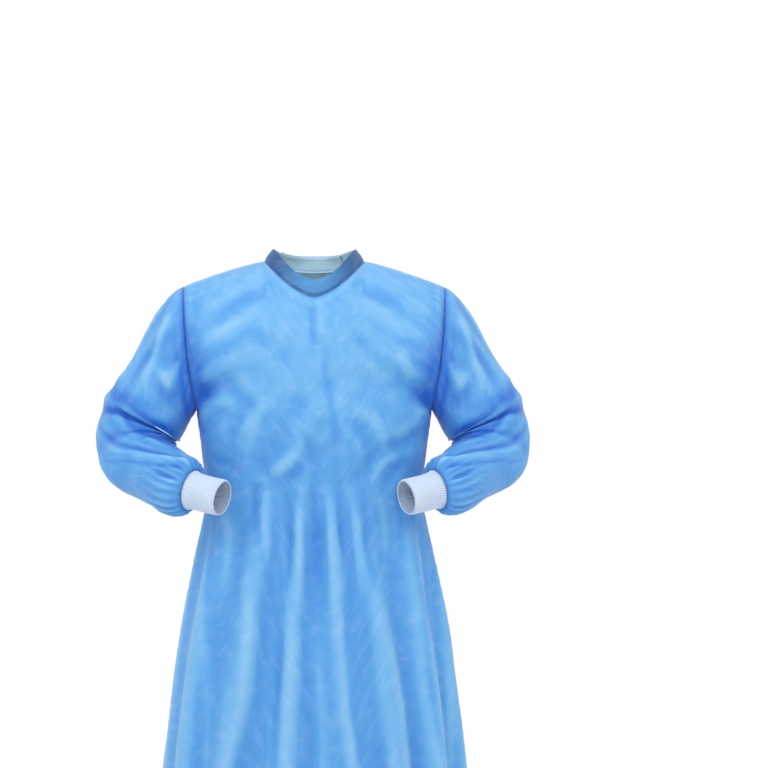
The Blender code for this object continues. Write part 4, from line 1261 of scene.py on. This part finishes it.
class Shader:
    """Small helper that adds and links a material's nodes."""

    def __init__(self, name):
        self.material = bpy.data.materials.new(name)
        self.material.use_nodes = True
        self.tree = self.material.node_tree
        self.surface = self.tree.nodes["Principled BSDF"]

    def add(self, kind, settings=(), **inputs):
        """Adds a node, sets its properties and links or sets its inputs."""
        node = self.tree.nodes.new(kind)
        for key, value in dict(settings).items():
            setattr(node, key, value)
        for key, value in inputs.items():
            self.feed(node.inputs[int(key[1:])], value)
        return node

    def feed(self, socket, value):
        """Links a socket to another one, or sets it."""
        if isinstance(value, bpy.types.NodeSocket):
            self.tree.links.new(value, socket)
        else:
            socket.default_value = value

    def math(self, operation, first, second=0.0):
        """One step of arithmetic."""
        return self.add("ShaderNodeMath", {"operation": operation}, i0=first, i1=second).outputs[0]

    def mix(self, share, first, second):
        """A colour between two others."""
        return self.add("ShaderNodeMix", {"data_type": "RGBA"}, i0=share, i6=first, i7=second).outputs[2]

    def span(self, value, low, high, to_low=0.0, to_high=1.0):
        """A value brought from one range to another, held inside it."""
        return self.add("ShaderNodeMapRange", (), i0=value, i1=low, i2=high, i3=to_low, i4=to_high).outputs[0]

    def noise(self, place, grain):
        """Soft noise at a place."""
        sizes = {"i2": grain.waves, "i3": grain.detail, "i4": grain.roughness}
        return self.add("ShaderNodeTexNoise", (), i0=place, **sizes).outputs[0]

    def bump(self, size, height, under=None):
        """The cloth's direction with a height added, on top of another bump."""
        node = self.add("ShaderNodeBump", (), i0=size.strength, i1=size.distance, i3=height)
        if under:
            self.feed(node.inputs["Normal"], under)
        return node.outputs[0]

    def cloth_places(self):
        """Metres on the cloth, the same across and down it, and its painted shade and painted highlight."""
        metres = self.add("ShaderNodeUVMap", {"uv_map": "metres"}).outputs[0]
        apart = self.add("ShaderNodeSeparateXYZ", (), i0=metres)
        painted_shade_and_highlight = self.add("ShaderNodeAttribute", {"attribute_name": "painted_shade_and_highlight"}).outputs[2]
        return metres, apart.outputs[0], apart.outputs[1], painted_shade_and_highlight

    def set(self, **values):
        """Sets the surface's own sockets."""
        for key, value in values.items():
            self.feed(self.surface.inputs[key.replace("_", " ")], value)


def nonwoven(name, colours, sheen=SHEEN):
    """Bonded nonwoven: embossed bond points on a web of fibres, with painted shade, deeper blue, in its
    troughs and shaded places and painted highlight on its ridges.
    """
    shader = Shader(name)
    metres, across, down, painted_shade_and_highlight = shader.cloth_places()

    drift = shader.math("MULTIPLY", shader.noise(metres, DRIFT_GRAIN), BOND_DRIFT)
    lines = []
    for operation in ("ADD", "SUBTRACT"):
        moved = shader.math("ADD", shader.math(operation, across, down), drift)
        slanted = shader.math("MULTIPLY", moved, 1 / BOND_PITCH)
        centred = shader.math("SUBTRACT", shader.math("FRACT", slanted), 0.5)
        lines.append(shader.math("MULTIPLY", centred, centred))
    away = shader.math("SQRT", shader.math("ADD", *lines))
    bond = shader.span(away, *BOND_EDGE)

    cloudy = shader.noise(metres, CLOUD_GRAIN)
    fibres = shader.noise(metres, FIBRE_GRAIN)
    # Painted shade mixes in the deep colour, and painted highlight mixes in the light colour on the ridges
    deep = shader.math("MULTIPLY", shader.span(painted_shade_and_highlight, *PAINTED_SHADE_RANGE), PAINTED_SHADE_MOST_SHARE)
    raised = shader.span(painted_shade_and_highlight, *PAINTED_HIGHLIGHT_RANGE, 1.0, 0.0)
    clouds = shader.span(cloudy, *CLOUD_RANGE, -CLOUD_SHARE, CLOUD_SHARE)
    web = shader.math("ADD", clouds, shader.span(fibres, *CLOUD_RANGE, -FIBRE_SHARE, FIBRE_SHARE))
    paler = shader.math("MAXIMUM", web, 0.0)
    darker = shader.math("MAXIMUM", shader.math("MULTIPLY", web, -1.0), 0.0)
    colour = shader.mix(raised, colours.middle, colours.light)
    colour = shader.mix(deep, colour, colours.deep)
    colour = shader.mix(paler, colour, WHITE)
    colour = shader.mix(darker, colour, DARK_TINT)
    colour = shader.mix(shader.span(bond, 0.0, 1.0, BOND_DEEPER, 0.0), colour, colours.deep)

    bonds = shader.math("MULTIPLY", bond, BOND_HEIGHT)
    height = shader.math("ADD", bonds, shader.math("MULTIPLY", fibres, FIBRE_HEIGHT))
    fine = shader.bump(FINE_BUMP, height)
    wrinkles = shader.bump(WRINKLE_BUMP, shader.noise(metres, CRINKLE_GRAIN), fine)
    rough = shader.span(cloudy, *CLOUD_RANGE, *CLOTH_ROUGHNESS)
    shader.set(Base_Color=colour, Roughness=rough, Normal=wrinkles, Specular_IOR_Level=CLOTH_SPECULAR)
    shader.set(Sheen_Weight=sheen, Sheen_Roughness=SHEEN_ROUGHNESS, Sheen_Tint=SHEEN_TINT)
    return shader.material


def knit(name, colours):
    """Rib knit: rows of small slanted stitches on the ribs, their tops painted lighter as highlight and its
    troughs painted deeper as shade.
    """
    shader = Shader(name)
    metres, across, down, painted_shade_and_highlight = shader.cloth_places()
    wale = shader.math("PINGPONG", across, KNIT_WALE)
    slanted = shader.math("ADD", down, shader.math("MULTIPLY", wale, KNIT_SLANT))
    course = shader.math("SINE", shader.math("MULTIPLY", slanted, 2 * math.pi / KNIT_COURSE))
    stitch = shader.span(course, -1.0, 1.0)
    fuzz = shader.noise(metres, FUZZ_GRAIN)
    deep = shader.math("MULTIPLY", shader.span(painted_shade_and_highlight, *KNIT_PAINTED_SHADE_RANGE), KNIT_PAINTED_SHADE_MOST_SHARE)
    colour = shader.mix(stitch, colours.middle, colours.light)
    colour = shader.mix(deep, colour, colours.deep)
    bump = shader.bump(STITCH_BUMP, shader.math("ADD", stitch, shader.math("MULTIPLY", fuzz, FUZZ_HEIGHT)))
    shader.set(Base_Color=colour, Roughness=KNIT_ROUGHNESS, Normal=bump, Specular_IOR_Level=KNIT_SPECULAR)
    shader.set(Sheen_Weight=KNIT_SHEEN, Sheen_Roughness=KNIT_SHEEN_ROUGHNESS)
    return shader.material


def make_band(front, left, right):
    """Neck band: a strip folded double, from its end under the lap round the neck and over it."""
    neck = NECK_STEPS * PARTS
    centre = COLUMNS * PARTS
    under_lap = left.points[0, centre - neck:][::-1]
    round_front = front.points[0, centre - neck + 1:centre + neck]
    over_lap = right.points[0, :neck - LAP_OVER_EDGE * PARTS + 1][::-1]
    line = np.concatenate([under_lap, round_front, over_lap], axis=0)
    run = lengths_along(line, 0)
    middle = np.array((0.0, (front.points[0, centre, 1] + left.points[0, centre, 1]) / 2))
    way = line[:, :2] - middle
    out = unit(way)
    in_front = way[:, 1] < 0
    to_side = ease(np.abs(out[:, 0]))
    inward, rise = (
        blend(np.where(in_front, at_front, at_back), at_side, to_side)
        for at_front, at_side, at_back in zip(BAND_FRONT, BAND_SIDE, BAND_BACK)
    )

    up = np.linspace(0.0, 1.0, BAND_ROWS)
    turns = np.linspace(0, np.pi, BAND_EDGE_ROWS)[1:]
    rows = [(share, 0.0) for share in up]
    rows += [(1 + BAND_EDGE_ROUND * np.sin(turn), (1 - np.cos(turn)) / 2) for turn in turns]
    rows += [(share, 1.0) for share in up[-2::-1]]
    drift = BAND_RIPPLE_DRIFT_HEIGHT * np.sin(run * BAND_RIPPLE_DRIFT)
    ripple = BAND_RIPPLE * np.sin(run * BAND_RIPPLE_WAVE + drift)
    points = []
    for share, under in rows:
        arch = np.sin(np.pi * min(share, 1.0))
        roll = np.clip((share - BAND_ROLL_START) / (1 - BAND_ROLL_START), 0, 1)
        roll = BAND_ROLL * np.sin(np.pi * roll) * (1 - 2 * under)
        aside = (BAND_BULGE + ripple) * arch + roll - inward * share - BAND_THICKNESS * under
        flat = line[:, :2] + out * aside[:, None]
        points.append(np.column_stack([flat, line[:, 2] + rise * share]))
    piece = Cloth("neck_band", np.array(points)[::-1], outward=1)

    shares, unders = np.array(rows)[::-1].T[..., None]
    shares = np.minimum(shares, 1.0)
    # Painted shade: deeper blue at the band's lower seam, along its stitches, on its inside and towards the
    # sides of the neck
    outside = unders < 0.5
    stitched = STITCH_SHADE * hump(shares - STITCH_PLACE, STITCH_REACH)
    piece.shade += seam_shade(shares, BAND_SEAM_SHADE) * outside + stitched
    piece.shade += BAND_SIDE_SHADE * to_side ** 2 * outside + BAND_INSIDE_SHADE * unders
    piece.points = piece.points - piece.normals * (STITCH_DEPTH * stitched)[..., None]
    return piece


def make_cuff(name):
    """The knitted cuff at +X, a ribbed tube whose open end turns in a little."""
    _, rings = sleeve_layout()
    centre, outer, side, way = (rings[-1, k:k + 3] for k in (0, 3, 6, 9))
    along = np.linspace(0.0, CUFF_RINGS[-1].along, CUFF_ROWS)
    to_end = along[-1] - along
    radius = curve_through(*zip(*CUFF_RINGS), along) - CUFF_TURN_IN * np.exp(-to_end / CUFF_TURN_REACH)
    angle = 2 * np.pi * np.arange(CUFF_RIBS * CUFF_RIB_POINTS) / (CUFF_RIBS * CUFF_RIB_POINTS)
    ribbed = CUFF_RIB_HEIGHT * ease(to_end / CUFF_END_REACH + CUFF_END_SHARE)
    sag = CUFF_SAG * np.sin(along * CUFF_SAG_WAVE_ALONG)
    lift = ribbed[:, None] * np.cos(CUFF_RIBS * angle) + sag[:, None] * np.sin(CUFF_SAG_WAVES * angle + 1)
    radial = outer * np.cos(angle)[:, None] + side * np.sin(angle)[:, None]
    middle = centre + way * (CUFF_GAP + along)[:, None]
    points = middle[:, None] + radial * (radius[:, None] + lift)[..., None]
    piece = Cloth(name, points, outward=1, closed=True)
    # Painted shade between the ribs and at the cuff's seam
    piece.relief = lift * CUFF_RIB_SHADE
    piece.shade += seam_shade(along, CUFF_SEAM_SHADE)[:, None]
    return piece


def tie_piece(name, panel, first, start):
    """A waist tie that lies on the back panel from the side seam to the knot."""
    step = 1 if start < 0 else -1
    index = np.arange(start, step / PARTS / 2, step / PARTS)
    columns = np.round((index - first) * PARTS).astype(int)
    keep = np.abs(panel.points[TIE_TOP_ROW, columns, 0]) > KNOT_HALF.x * TIE_UNDER_KNOT
    columns, index = columns[keep], index[keep]
    rows = np.arange(TIE_TOP_ROW, TIE_TOP_ROW + TIE_ROWS + 1)
    base = panel.points[rows][:, columns]
    ways = soften_ways(panel.normals[rows][:, columns], TIE_EVEN, False)
    wave = TIE_WAVE * np.sin(TIE_WAVE_STEP * np.arange(len(columns)))
    lift = wave * np.cos(np.linspace(-TIE_WAVE_EDGE, TIE_WAVE_EDGE, len(rows)))[:, None]
    lift += TIE_CLOTH + TIE_GAP
    if start < 0:
        lift += (LAP_RISE + CLOTH) * ease(index - LAP_OVER_EDGE + TIE_LAP_START)
    return Cloth(name, base + ways * lift[..., None], outward=-step)


def ribbon(name, path, widths, ways, outward, curl=TIE_CURL):
    """A strip along a path, a little hollow across its width."""
    shares = np.linspace(-1, 1, RIBBON_ROWS)
    rows = [path + widths * (TIE_WIDTH / 2 * share) - ways * (curl * share ** 2) for share in shares]
    return Cloth(name, np.array(rows)[::-1], outward)


def smooth_path(points, count):
    """A path with more points on a smooth line through the given ones."""
    points = np.array(points)
    places = lengths_along(points, 0)
    return smooth_rows(places, points, np.linspace(0, places[-1], count))


def back_depth(x, drop):
    """Depth of the outer layer of the lapped back at a distance from its centre."""
    across = np.minimum(1.0, np.abs(x) / half_width(np.array([drop])))
    turn = np.copysign(np.degrees(np.arcsin(across ** (1 / SQUARENESS))), x)
    points, _ = body_points(np.atleast_2d(turn), np.array([drop]), BACK)
    return float(points[0, 0, 1]) + LAP_RISE


def knot_centre():
    """Middle of the knot, clear of the lap behind it."""
    depth = max(back_depth(0.0, WAIST_DROP + side * KNOT_HALF.z) for side in (-1, 0, 1))
    return Vector((0, depth + KNOT_GAP + KNOT_HALF.y, -WAIST_DROP))


def knot_reach(axis, offset):
    """How far the knot's surface is from its middle along one axis, at an offset along the others."""
    power = 2 / KNOT_SQUARENESS
    left = 1 - sum((abs(offset[k]) / KNOT_HALF[k]) ** power for k in range(3) if k != axis)
    return KNOT_HALF[axis] * left ** (1 / power)


def make_knot():
    """The knot: a squared lump with the turns of the ties as soft ridges round it."""
    tilt = np.linspace(KNOT_POLE, np.pi - KNOT_POLE, KNOT_ROWS)[:, None]
    angle = (2 * np.pi * np.arange(KNOT_COLUMNS) / KNOT_COLUMNS)[None, :]
    height = np.cos(tilt) * np.ones_like(angle)
    ball = np.stack([np.sin(tilt) * np.cos(angle), np.sin(tilt) * np.sin(angle), height], axis=-1)
    shape = np.copysign(np.abs(ball) ** KNOT_SQUARENESS, ball)
    points = np.array(knot_centre()) + shape * np.array(KNOT_HALF)
    piece = Cloth("tie_knot", points, outward=1, closed=True)
    slant = shape[..., 2] + KNOT_SLANT * shape[..., 0]
    to_groove = np.abs(slant) - KNOT_GROOVE_PLACE
    to_cross = KNOT_CROSS_SLANT * slant - shape[..., 0]
    turns = -KNOT_GROOVE * hump(to_groove, KNOT_GROOVE_REACH) - KNOT_CROSS * hump(to_cross, KNOT_CROSS_REACH)
    turns *= np.minimum(1.0, KNOT_POLE_FADE * np.sin(tilt))
    # Painted shade in the grooves between the knot's turns
    piece.relief += turns
    piece.shade += KNOT_SHADE.depth * hump(to_groove, KNOT_SHADE.reach)
    piece.move_out(turns)
    return piece


def bow_loop(name, side):
    """One loop of the bow: out from the knot, round its end and back on top."""
    droop = math.radians(BOW_DROOP)
    along = Vector((side * math.cos(droop), BOW_LEAN, -math.sin(droop))).normalized()
    width = Vector((side * math.sin(droop), 0, math.cos(droop)))
    out = Vector((0, 1, 0))
    centre = knot_centre()
    low_corner = Vector((0, BOW_NEAR - KNOT_HALF.y, -TIE_WIDTH / 2 * math.cos(droop)))
    seat = knot_reach(0, low_corner) + TIE_WIDTH / 2 * math.sin(droop) - BOW_SEAT
    start = Vector((side * seat, centre.y - KNOT_HALF.y, centre.z))
    middle, radius = (BOW_NEAR + BOW_FAR) / 2, (BOW_FAR - BOW_NEAR) / 2
    places = [(BOW_LENGTH * share, BOW_NEAR) for share in BOW_BACK_STOPS]
    for angle in np.linspace(0, math.pi, BOW_END_POINTS)[1:-1]:
        places.append((BOW_LENGTH + radius * math.sin(angle), middle - radius * math.cos(angle)))
    for share in BOW_FRONT_STOPS:
        places.append((BOW_LENGTH * share, BOW_FAR + BOW_PUFF * math.sin(math.pi * share)))
    path = smooth_path([start + along * reach + out * depth for reach, depth in places], BOW_POINTS)
    widths = np.tile(np.array(width), (len(path), 1))
    ways = np.cross(widths, unit(np.gradient(path, axis=0))) * side
    share = np.linspace(0, 1, len(path))[:, None]
    ends = np.exp(-share / BOW_PINCH_REACH) + np.exp(-(1 - share) / BOW_PINCH_REACH)
    return ribbon(name, path, widths * (1 - BOW_PINCH * ends), ways, side)


def tie_tail(name, side):
    """A loose end that hangs from the knot down the lapped back."""
    corner = Vector((TIE_WIDTH / 4, TAIL_CLEARANCE - KNOT_HALF.y, 0))
    top = WAIST_DROP + knot_reach(2, corner) - TAIL_SEAT
    path = []
    for share in np.linspace(0, 1, TAIL_STOPS):
        drop = top + TAIL_LENGTH * share
        x = side * (TIE_WIDTH / 2 + TAIL_GAP + TAIL_SPREAD * share)
        depth = max(back_depth(x + TIE_WIDTH / 2 * edge, drop) for edge in (-1, -0.5, 0, 0.5, 1))
        path.append((x, depth + TAIL_CLEARANCE, -drop))
    path = smooth_path(path, TAIL_POINTS)
    run = np.linspace(0, 1, len(path))
    path[:, 1] += TAIL_WAVE * (1 + np.sin(TAIL_WAVES * run + side)) * ease(run / TAIL_WAVE_START)
    widths = np.tile((1.0, 0.0, 0.0), (len(path), 1))
    ways = np.tile((0.0, 1.0, 0.0), (len(path), 1))
    return ribbon(name, path, widths, ways, 1, TAIL_CURL)


def make_gown():
    """Makes every piece of the gown in its cloth."""
    cloth = nonwoven("gown_cloth", CLOTH_COLOURS)
    # The inside of the cloth is painted paler, as painted light
    painted_light_lining = nonwoven("gown_cloth_inside_painted_light", INSIDE_PAINTED_LIGHT_COLOURS)
    band_cloth = nonwoven("neck_band_cloth", BAND_COLOURS, BAND_SHEEN)
    tie_cloth = nonwoven("tie_cloth", TIE_COLOURS)
    rib = knit("cuff_knit", KNIT_COLOURS)

    front = body_panel("front_panel", FRONT, -COLUMNS, COLUMNS, FRONT_CREASES)
    left = body_panel("back_panel_left", BACK, -COLUMNS, LAP_UNDER_EDGE, BACK_CREASES)
    right = body_panel("back_panel_right", BACK, LAP_OVER_EDGE, COLUMNS, BACK_CREASES)
    right.move_out(np.tile(lap_lifts(right.index), (right.points.shape[0], 1)))
    sleeve = sleeve_piece("sleeve_right", armhole_ring(front, right))
    fill_elbow(sleeve)
    other = mirrored(sleeve, "sleeve_left")
    other_creases = []
    for crease in SLEEVE_CREASES:
        to_across = crease.to_across * OTHER_SLEEVE_SHARE + OTHER_SLEEVE_SHIFT
        other_creases.append(crease._replace(to_across=to_across))
    add_sleeve_folds(sleeve, SLEEVE_CREASES, 0.0)
    add_sleeve_folds(other, other_creases, SLEEVES_APART)

    both_backs = ["back_panel_left_cloth", "back_panel_right_cloth"]
    for piece in (front, left, right, sleeve, other):
        item = show_cloth(piece, [cloth, painted_light_lining])
    band = make_band(front, left, right)
    inner_rows = band.points.shape[0] // 2 - 2
    item = show_cloth(band, [band_cloth, painted_light_lining], None, inner_rows)
    cuff = make_cuff("cuff_right")
    for piece in (cuff, mirrored(cuff, "cuff_left")):
        item = show_cloth(piece, [rib], CUFF_CLOTH)
    knot = make_knot()
    show_cloth(knot, [tie_cloth], None)
    ties = [
        (tie_piece("waist_tie_left", left, -COLUMNS, -COLUMNS), both_backs),
        (tie_piece("waist_tie_right", right, LAP_OVER_EDGE, COLUMNS), ["back_panel_right_cloth"]),
    ]
    for name, side in (("right", 1), ("left", -1)):
        ties.append((bow_loop("bow_loop_" + name, side), ["tie_knot_cloth"]))
        ties.append((tie_tail("tie_tail_" + name, side), ["tie_knot_cloth"]))
    for piece, rests_on in ties:
        item = show_cloth(piece, [tie_cloth], TIE_CLOTH)


def make_stage():
    """The floor, the light and the camera."""
    mesh = bpy.data.meshes.new("floor")
    angle = np.linspace(0, 2 * np.pi, FLOOR_POINTS, endpoint=False)
    rim = np.column_stack([np.cos(angle), np.sin(angle), np.zeros_like(angle)]) * FLOOR_RADIUS
    mesh.from_pydata(rim.tolist(), [], [list(range(len(rim)))])
    pale = Shader("floor")
    pale.set(Base_Color=FLOOR_COLOUR, Roughness=FLOOR_ROUGHNESS)
    mesh.materials.append(pale.material)
    floor = add_object("floor", mesh)
    floor.location.z = -FLOOR_DROP

    scene = bpy.context.scene
    scene.view_settings.view_transform = "Standard"
    scene.world = bpy.data.worlds.new("studio")
    scene.world.use_nodes = True
    backdrop = scene.world.node_tree.nodes["Background"]
    backdrop.inputs["Color"].default_value = WHITE
    backdrop.inputs["Strength"].default_value = 1.0
    for lamp in LAMPS:
        data = bpy.data.lights.new(lamp.name, "AREA")
        data.size = lamp.size
        data.energy = lamp.power
        item = add_object(lamp.name, data)
        item.location = lamp.place
        item.rotation_euler = (LAMP_AIM - Vector(lamp.place)).to_track_quat("-Z", "Y").to_euler()

    camera = bpy.data.cameras.new("camera")
    camera.sensor_width = SENSOR_WIDTH
    camera.lens = SENSOR_WIDTH * CAMERA_DISTANCE / VIEW_WIDTH
    scene.camera = add_object("camera", camera)
    scene.camera.location = (0.0, -CAMERA_DISTANCE, -CAMERA_DROP)
    scene.camera.rotation_euler = (math.radians(90), 0.0, -math.atan2(VIEW_ASIDE, CAMERA_DISTANCE))


for leftover in list(bpy.data.objects):
    bpy.data.objects.remove(leftover, do_unlink=True)
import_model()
make_stage()
make_gown()
